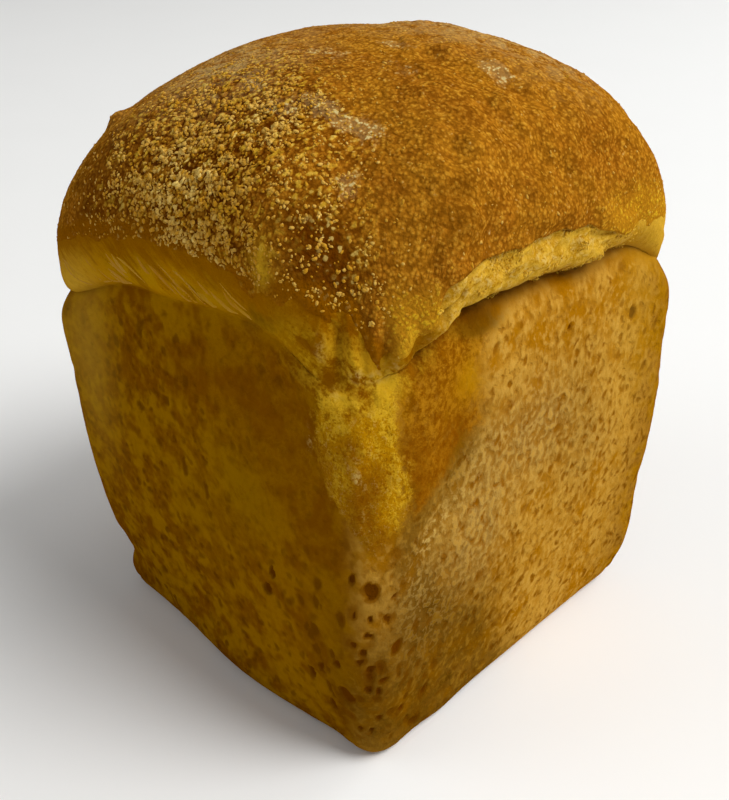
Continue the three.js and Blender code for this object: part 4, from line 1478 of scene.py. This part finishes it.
def smooth_band(m, colours, tint):
    """The smooth dough over the rim, gold to olive and streaked along its stretch with straw and
    brown, and the crumpled folds of the near corner with their whitish wisps. Along the ridge on the
    +X side the whitish wisps are a painted highlight."""
    gold = m.attribute("gold")
    olive = (m.patch * 0.6 + m.cloud * 0.6).ease(0.5, 0.72)
    straw = (m.streak * 0.7 + m.patch * 0.3 + m.bright * 0.4).ease(0.46, 0.8)
    sweep = m.noise(2.4, 2, 0.5, m.slanted((0, BAND_SLANT, 0), (4, 1, 1)))
    band = m.layers(
        m.blend(colours.band_gold, colours.band_olive, olive),
        (colours.strand_straw, straw * 0.85),
        (colours.wall_brown, (m.streak * 0.6 + m.fine * 0.4).ease(0.47, 0.32) * 0.55),
        (colours.strand_straw, sweep.ease(0.5, 0.66) * 0.7),
        (colours.wall_brown, sweep.ease(0.46, 0.34) * 0.6),
        (colours.crumb_pale, gold * m.streak.ease(0.3, 0.7, 0.5, 1)),
        (colours.wall_rust, m.attribute("behind") * m.patch.ease(0.3, 0.7, 0.3, 0.7)),
    )
    folds = m.streak * 0.35 + m.worm * 0.3 + m.grain * 0.5 + (m.patch - 0.5) * 0.7 + m.bright * 0.3
    folds = m.blend(colours.facet_brown, colours.nose_yellow, folds.ease(0.48, 0.8))
    wisps = (m.worm * 0.6 + m.grain * 0.6).ease(0.55, 0.75)
    return m.layers(
        tint,
        (band, m.bare),
        (colours.crumb_pale, gold * (1 - m.torn) * 0.35),
        (folds, m.crumple * (1 - m.torn) * 0.85),
        # Whitish wisps, and a painted highlight along the ridge on the +X side
        (colours.crease_pale, m.attribute("crease") * wisps * 0.9),
    )


def torn_crumb(m, colours):
    """Torn crumb, deep to pale yellow, with whitish wisps and brown strokes along it."""
    stroke = m.noise(0.9, 2, 0.6, m.slanted((0, 0, 90), (4, 1, 1)))
    pale = (stroke * 0.3 + m.patch * 0.5 + m.grain * 0.5).ease(0.45, 0.8)
    return m.layers(
        m.blend(colours.crumb_deep, colours.crumb_pale, pale),
        (colours.crease_pale, (m.worm * 0.6 + m.grain * 0.6).ease(0.58, 0.8) * 0.7),
        (colours.wall_brown, (stroke * 0.6 + m.fine * 0.4).ease(0.46, 0.3) * 0.6),
    )


def wall_finish(colours):
    """The body's finish: tin-baked wall, pinched corner, smooth band and torn crumb, one over the
    other. The noises and masks that they share are kept on the finish."""
    m = Finish("tin_baked_wall")
    m.cloud, m.patch = m.noise(16, 3), m.noise(5, 2)
    m.worm = m.noise(1.5, 2, 0.45, m.warped(2.4, 0.7, (1, 1, 0.85)))
    m.grain, m.fine = m.noise(0.8, 3, 0.65), m.noise(0.4, 2, 0.6)
    m.streak = m.noise(0.9, 2, 0.6, m.slanted((0, BAND_SLANT, 0), (6, 1, 1)))
    m.wander = (m.worm - 0.5) * 0.9 + (m.patch - 0.5) * 1.1
    for mask in ("pitted", "torn", "lee", "dark", "bright", "bare", "crumple"):
        setattr(m, mask, m.attribute(mask))
    shade = m.attribute("shade")
    rim = (m.attribute("low") * 1.1 + (m.streak - 0.5) * 1.3 + (m.patch - 0.5) * 0.9).ease(0.05, 1.0)
    shaded = (shade + m.wander * 0.4).ease(0.1, 0.8) * shade.ease(0, 0.1)
    tint = pinched_corner(m, colours, tin_wall(m, colours))
    tint = m.layers(
        smooth_band(m, colours, tint),
        (torn_crumb(m, colours), m.torn),
        (colours.crust_rim, rim * m.bare * (0.85 - m.crumple * 0.35)),
        # Painted shadow under the lip of the torn shred, and painted shade at the foot of the near corner
        (colours.wall_dark, shaded * (1 - m.torn) * 0.8),
        # Painted shade in the crevice and crack of the torn shred
        (colours.pore_brown, m.attribute("hollow_shade") * 0.6),
        (colours.pore_brown, m.fine.ease(0.46, 0.3) * 0.08),
    )
    height = m.worm * 0.6 + m.grain * 0.3 + m.fine * 0.15 - m.holes * 0.25 - m.dabs * 0.2
    return m.surface(tint, m.grain.ease(0.3, 0.7, 0.55, 0.7), m.bump(height, 0.42), NO_SHEEN)


def crust_finish(colours):
    """Baked crust: golden blisters between brown seams, pale where it is coarse, whitish with
    flour in places and paler in others, golden at the near corner and dark along its ragged lower
    edge. The far top is painted paler as a sheen, glints are painted on the blisters, and the
    lighter blister tops are in part a painted sheen."""
    m = Finish("baked_crust")
    blister, crevice, coarse = (m.attribute(name) for name in ("blister", "crevice", "coarse"))
    flour, low, browned = (m.attribute(name) for name in ("flour", "low", "browned"))
    finger = m.attribute("finger")
    cloud, patch, mottle = m.noise(17, 3), m.noise(4.2, 2), m.noise(1.5, 3, 0.6)
    freckle = m.noise(0.5, 2, 0.65)
    seam = m.spots(0.85, m.warped(0.9, 0.35))
    bead = (seam.ease(0.6, 0.1) * 0.4 + blister * 0.5 + mottle * 0.5).ease(0.35, 1.0)
    gap = (crevice * 0.5 + seam.ease(0.25, 0.65) * 0.4 + mottle.ease(0.55, 0.3) * 0.4).ease(0.25, 0.95)
    raised = (blister * 1.1 + (mottle - 0.5)).ease(0.2, 0.6)
    burnt = (browned + (patch - 0.5) * 0.8).ease(0.1, 0.9) * browned.ease(0, 0.3)
    amber = m.attribute("amber").top(finger * 0.9)
    golden = (bead * 0.8 + mottle * 0.6 + finger * 0.5).ease(0.3, 0.8)
    golden = m.blend(colours.facet_amber, colours.nose_yellow, golden)
    pale = (raised * 0.8 + freckle * 0.4).ease(0.6, 1.0) * m.attribute("pale").ease(0, 0.8, 0.2, 0.85)
    # Paler patches and the painted sheen on the far top, in the flour colour
    paler_and_sheen_tint = m.attribute("paler_and_sheen") * (patch * 0.5 + mottle * 0.5).ease(0.4, 0.58, 0.05, 0.5)
    smear = m.noise(2.6, 3, 0.65, m.warped(4, 3))
    dust = (flour * 0.7 + smear * 0.9 + freckle * 0.5 + mottle * 0.4).ease(1.05, 1.35)
    dust = dust * flour.ease(0.03, 0.35) * (bead * 0.5 + mottle * 0.7).ease(0.42, 0.62, 0.15, 0.95)
    # Painted glints on the blister tops, laid on in the flour colour
    painted_glint = bead * m.noise(2.4).ease(0.6, 0.72) * freckle.ease(0.42, 0.6)
    tint = m.layers(
        m.blend(colours.crust_amber, colours.crust_orange, (cloud * 0.7 + patch * 0.4).ease(0.42, 0.68)),
        (colours.crust_dark, (gap * (0.5 + coarse * 0.5)).top(coarse * 0.5)),
        (colours.crust_dark, m.noise(3, 2).ease(0.52, 0.36) * (coarse * 0.55 + 0.2)),
        # Lighter blister tops, in part a painted sheen
        (colours.crust_light, bead * patch.ease(0.35, 0.65, 0.5, 0.8)),
        (colours.blister_gold, raised * coarse.ease(0.03, 0.5) * 0.85),
        (colours.crust_dark, burnt * 0.85),
        (golden, amber * patch.ease(0.3, 0.6, 0.7, 1)),
        (colours.crust_rim, (low * 1.3 - mottle * 0.5).ease(0.0, 0.7) * (0.85 - amber * 0.6)),
        (colours.crust_dark, freckle.ease(0.48, 0.3) * 0.3),
        (colours.blister_pale, pale * coarse.ease(0.1, 0.7) * patch.ease(0.4, 0.6, 0.1, 1)),
        (colours.flour, paler_and_sheen_tint),
        (colours.flour, dust),
        # Painted glints
        (colours.flour, painted_glint * 0.6),
    )
    height = freckle * 0.25 - seam * 0.4 + mottle * 0.35
    return m.surface(tint, freckle.ease(0.3, 0.7, 0.45, 0.62), m.bump(height, 0.7), NO_SHEEN)


def toned_finish(name, dark, light, rough, long):
    """Small things whose own tone runs from dark to light, with a little cloud in each."""
    m = Finish(name)
    cloud = m.noise(long, 2)
    tint = m.blend(dark, light, (m.attribute("tone") * 0.9 + cloud * 0.3).ease(0.12, 1.05))
    roughness = cloud.ease(0.3, 0.7, rough - 0.08, rough + 0.08)
    return m.surface(tint, roughness, m.bump(cloud, 0.2), WARM_SHEEN)


def grain_finish(colours):
    """Pale grains on the crust, from gold to cream."""
    return toned_finish("baked_grain", colours.grain_gold, colours.blister_pale, 0.5, 0.5)


def crumb_finish(colours):
    """Torn crumb, from deep to pale yellow."""
    return toned_finish("torn_crumb", colours.crumb_deep, colours.crumb_pale, 0.7, 0.7)


def strand_finish(colours):
    """Stretched dough, from gold to straw."""
    return toned_finish("stretched_dough", colours.band_gold, colours.strand_straw, 0.6, 1.2)


def floor_finish(colours):
    """Plain pale floor."""
    m = Finish("pale_floor")
    rough = m.noise(40).ease(0.2, 0.8, 0.75, 0.85)
    return m.surface(colours.floor, rough, m.bump(m.noise(3), 0.02))


def add_stage(colours):
    """A pale round floor, three soft studio lights, a pale world and the camera."""
    side = np.arange(FLOOR_SIDES)
    angle = side * 2 * np.pi / FLOOR_SIDES
    ring = FLOOR_RADIUS * np.stack([np.cos(angle), np.sin(angle), 0 * angle], axis=-1)
    points = np.concatenate([ring, [[0, 0, 0]]]) - [0, 0, FLOOR_GAP]
    triangles = fan_faces(side, FLOOR_SIDES)
    mesh = bpy.data.meshes.new("floor")
    mesh.from_pydata((points * MM).tolist(), [], triangles.tolist())
    mesh.materials.append(floor_finish(colours))
    floor = bpy.data.objects.new("floor", mesh)
    bpy.context.collection.objects.link(floor)
    for name, azimuth, elevation, distance, size, watts in LIGHTS:
        lamp = bpy.data.lights.new(name, "AREA")
        lamp.shape = "DISK"
        lamp.size = size
        lamp.energy = watts
        light = bpy.data.objects.new(name, lamp)
        away = direction(azimuth, elevation)
        light.location = Vector((0, 0, LOAF_TOP / 2)) + away * distance
        light.rotation_euler = (-away).to_track_quat("-Z", "Y").to_euler()
        bpy.context.collection.objects.link(light)
    world = bpy.data.worlds.new("pale_room")
    world.use_nodes = True
    background = world.node_tree.nodes["Background"]
    background.inputs["Color"].default_value = colours.room
    background.inputs["Strength"].default_value = ROOM_LIGHT
    bpy.context.scene.world = world
    bpy.context.scene.view_settings.view_transform = "Standard"
    add_camera()


def direction(azimuth, elevation):
    """The way from the loaf to a light or the camera; azimuth 0 is -Y and 90 is +X."""
    a, e = np.radians([azimuth, elevation])
    return Vector((np.sin(a) * np.cos(e), -np.cos(a) * np.cos(e), np.sin(e)))


def add_camera():
    """The camera where it stood in the photograph, with its small roll."""
    back = direction(CAMERA_AZIMUTH, CAMERA_ELEVATION)
    level = np.radians(CAMERA_AZIMUTH)
    right = Vector((np.cos(level), np.sin(level), 0))
    up = back.cross(right)
    roll = np.radians(CAMERA_ROLL)
    rolled_right = right * np.cos(roll) + up * np.sin(roll)
    rolled_up = up * np.cos(roll) - right * np.sin(roll)
    target = right * (TARGET_ASIDE * MM) + Vector((0, 0, TARGET_HEIGHT * MM))
    lens = bpy.data.cameras.new("camera")
    lens.sensor_width = SENSOR
    lens.lens = FOCAL_PIXELS / max(PHOTO_WIDTH, PHOTO_HEIGHT) * SENSOR
    lens.clip_start = 0.01
    camera = bpy.data.objects.new("camera", lens)
    turn = Matrix((rolled_right, rolled_up, back)).transposed()
    camera.matrix_world = Matrix.Translation(target + back * (CAMERA_DISTANCE * MM)) @ turn.to_4x4()
    bpy.context.collection.objects.link(camera)
    bpy.context.scene.camera = camera


def length(name, description, millimetres):
    """A length property whose default is given in millimetres."""
    return FloatProperty(name=name, description=description, default=millimetres * MM, min=0, unit="LENGTH")


def colour(name, description, *seen):
    """A colour property whose default is given as seen on a screen."""
    settings = dict(name=name, description=description, subtype="COLOR", size=4, min=0, max=1)
    return FloatVectorProperty(default=linear(*seen), **settings)


class LoafSizes(PropertyGroup):
    """The sizes that a user would change."""

    foot_width: length("Foot width", "Width of the loaf at the foot", 98.2)
    rim_width: length("Rim width", "Width of the loaf at the tin's rim", 104)
    belly_width: length("Belly width", "Width of the dough that rose over the rim", 107.6)
    groove_height: length("Groove height", "Height of the groove that the tin's rim left", 101.5)
    top_height: length("Top height", "Height of the dome's peak", LOAF_TOP / MM + 0.1)
    crust_edge: length("Crust edge", "Height of the baked crust's lower edge", 112.8)
    crust_lip: length("Crust lip", "How far the crust stands out over the torn shred", 0.9)
    pore_depth: length("Pore depth", "Depth of the wall's pores", 0.6)
    pore_size: FloatProperty(name="Pore size", description="Size of the wall's pores", default=1, min=0.2)
    blister_size: length("Blister size", "Spacing of the crust's blisters", 1.4)
    blister_height: length("Blister height", "Height of the crust's blisters", 0.36)
    grains: IntProperty(name="Grains", description="Number of pale grains on the crust", default=9500, min=0)
    crumbs: IntProperty(name="Crumbs", description="Number of crumbs on the torn shred", default=1300, min=0)
    strands: IntProperty(name="Strands", description="Number of stretched dough strands", default=30, min=0)


class LoafColours(PropertyGroup):
    """The colours that a user would change."""

    wall_straw: colour("Wall straw", "Paler parts of the wall on the light side", 186, 137, 47)
    wall_amber: colour("Wall amber", "Deeper parts of the wall on the light side", 161, 105, 6)
    wall_tan: colour("Wall tan", "Greyish parts of the wall on the light side", 147, 110, 48)
    wall_vein: colour("Wall veins", "Ridges between the pits on the light side", 198, 152, 64)
    # Darker copies of the wall's colours away from the light: painted shade
    vein_painted_shade: colour("Lee veins", "Ridges between the pits away from the light", 160, 112, 4)
    wall_painted_shade: colour("Wall on the lee side", "Wall away from the light", 147, 101, 0)
    wall_rust: colour("Wall rust", "Browner parts of the wall away from the light", 119, 70, 0)
    wall_olive: colour("Wall olive", "Olive patches of the wall", 142, 100, 1)
    # Also the dark strip, in part painted shade of its valley
    wall_brown: colour("Wall brown", "Dark strip and patches beside the pinched corner", 124, 73, 1)
    # Painted shade at the foot of the near corner and under the shred's lip, and darker patches
    wall_dark: colour("Wall dark", "Dark patches low on the pinched corner", 89, 56, 2)
    pit_brown: colour("Pit brown", "Small pits of the wall", 134, 82, 6)
    # Darker copy of the pits away from the light and in the dark patches: painted shade
    pit_painted_shade: colour("Lee pits", "Small pits away from the light and in dark places", 100, 59, 2)
    pore_brown: colour("Pore brown", "Inside of the pores", 92, 47, 0)
    band_gold: colour("Band", "Smooth dough over the rim", 168, 114, 0)
    band_olive: colour("Band olive", "Paler parts of the smooth dough", 172, 124, 2)
    strand_straw: colour("Strands", "Stretched strands of dough", 174, 126, 6)
    facet_brown: colour("Facet brown", "Brown facet of the pinched corner", 120, 67, 1)
    facet_amber: colour("Facet amber", "Lighter grain of the brown facet", 173, 118, 20)
    nose_gold: colour("Nose gold", "Deeper grain of the yellow nose", 173, 121, 5)
    nose_yellow: colour("Nose yellow", "Yellow nose of the pinched corner", 201, 156, 30)
    crease_pale: colour("Crease", "Whitish wisps of dough", 200, 168, 92)
    crumb_pale: colour("Torn crumb", "Pale crumb of the torn shred", 208, 164, 52)
    crumb_deep: colour("Deep crumb", "Deeper crumb of the torn shred", 172, 124, 18)
    crust_amber: colour("Crust amber", "Baked crust", 164, 102, 20)
    crust_orange: colour("Crust orange", "Warmer parts of the crust", 178, 117, 24)
    # Tops of fine blisters, paler and bluer in part as a painted sheen
    crust_light: colour("Crust light", "Tops of fine blisters", 206, 150, 46)
    crust_rim: colour("Crust rim", "Lower edge of the crust and the dough beside it", 134, 80, 0)
    crust_dark: colour("Crust dark", "Seams and browned places of the crust", 86, 40, 0)
    grain_gold: colour("Grain gold", "Most of the grains", 186, 132, 26)
    blister_gold: colour("Golden blister", "Coarse blisters", 206, 160, 38)
    blister_pale: colour("Pale blister", "Palest coarse blisters", 240, 209, 118)
    # Also the colour of the painted sheen on the far top and of the painted glints
    flour: colour("Flour", "Flour baked onto the crust", 204, 184, 124)
    floor: colour("Floor", "Plain pale floor", 240, 240, 238)
    room: colour("Room", "Light that comes from all round", 255, 255, 255)


def settings(context):
    """The form, the sizes and the colours that the scene holds."""
    sizes = context.scene.loaf_sizes
    return Form(sizes), sizes, context.scene.loaf_colours


class LOAF_OT_body(Operator):
    """Makes the loaf's body: pitted walls, groove, torn shred and pinched corner"""

    bl_idname = "loaf.body"
    bl_label = "Loaf body"
    bl_options = {"REGISTER", "UNDO"}

    def execute(self, context):
        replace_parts(add_body(*settings(context)), "loaf")
        return {"FINISHED"}


class LOAF_OT_crust(Operator):
    """Makes the baked crust over the dome"""

    bl_idname = "loaf.crust"
    bl_label = "Dome crust"
    bl_options = {"REGISTER", "UNDO"}

    def execute(self, context):
        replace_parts(add_crust(*settings(context)), "loaf")
        return {"FINISHED"}


class LOAF_OT_grains(Operator):
    """Scatters the pale grains over the crust"""

    bl_idname = "loaf.grains"
    bl_label = "Crust grains"
    bl_options = {"REGISTER", "UNDO"}

    def execute(self, context):
        add_grains(*settings(context))
        return {"FINISHED"}


class LOAF_OT_crumbs(Operator):
    """Scatters crumbs over the torn shred"""

    bl_idname = "loaf.crumbs"
    bl_label = "Shred crumbs"
    bl_options = {"REGISTER", "UNDO"}

    def execute(self, context):
        add_crumbs(*settings(context))
        return {"FINISHED"}


class LOAF_OT_strands(Operator):
    """Lays the stretched strands on the smooth band"""

    bl_idname = "loaf.strands"
    bl_label = "Dough strands"
    bl_options = {"REGISTER", "UNDO"}

    def execute(self, context):
        add_strands(*settings(context))
        return {"FINISHED"}


class LOAF_OT_stage(Operator):
    """Makes the floor, the lights and the camera"""

    bl_idname = "loaf.stage"
    bl_label = "Stage"
    bl_options = {"REGISTER", "UNDO"}

    def execute(self, context):
        add_stage(context.scene.loaf_colours)
        return {"FINISHED"}


OPERATORS = (LOAF_OT_body, LOAF_OT_crust, LOAF_OT_grains, LOAF_OT_crumbs, LOAF_OT_strands, LOAF_OT_stage)


class LOAF_PT_panel(Panel):
    """Lists the loaf's operators"""

    bl_label = "Wheat tin loaf"
    bl_space_type = "VIEW_3D"
    bl_region_type = "UI"
    bl_category = "Loaf"

    def draw(self, context):
        for operator in OPERATORS:
            self.layout.operator(operator.bl_idname)
        for settings in (context.scene.loaf_sizes, context.scene.loaf_colours):
            for name in settings.__annotations__:
                self.layout.prop(settings, name)


CLASSES = (LoafSizes, LoafColours, *OPERATORS, LOAF_PT_panel)


def register():
    for entry in CLASSES:
        bpy.utils.register_class(entry)
    bpy.types.Scene.loaf_sizes = PointerProperty(type=LoafSizes)
    bpy.types.Scene.loaf_colours = PointerProperty(type=LoafColours)


def unregister():
    del bpy.types.Scene.loaf_colours
    del bpy.types.Scene.loaf_sizes
    for entry in reversed(CLASSES):
        bpy.utils.unregister_class(entry)


def main():
    register()
    bpy.ops.loaf.body()
    bpy.ops.loaf.crust()
    bpy.ops.loaf.grains()
    bpy.ops.loaf.crumbs()
    bpy.ops.loaf.strands()
    bpy.ops.loaf.stage()


if __name__ == "__main__":
    main()
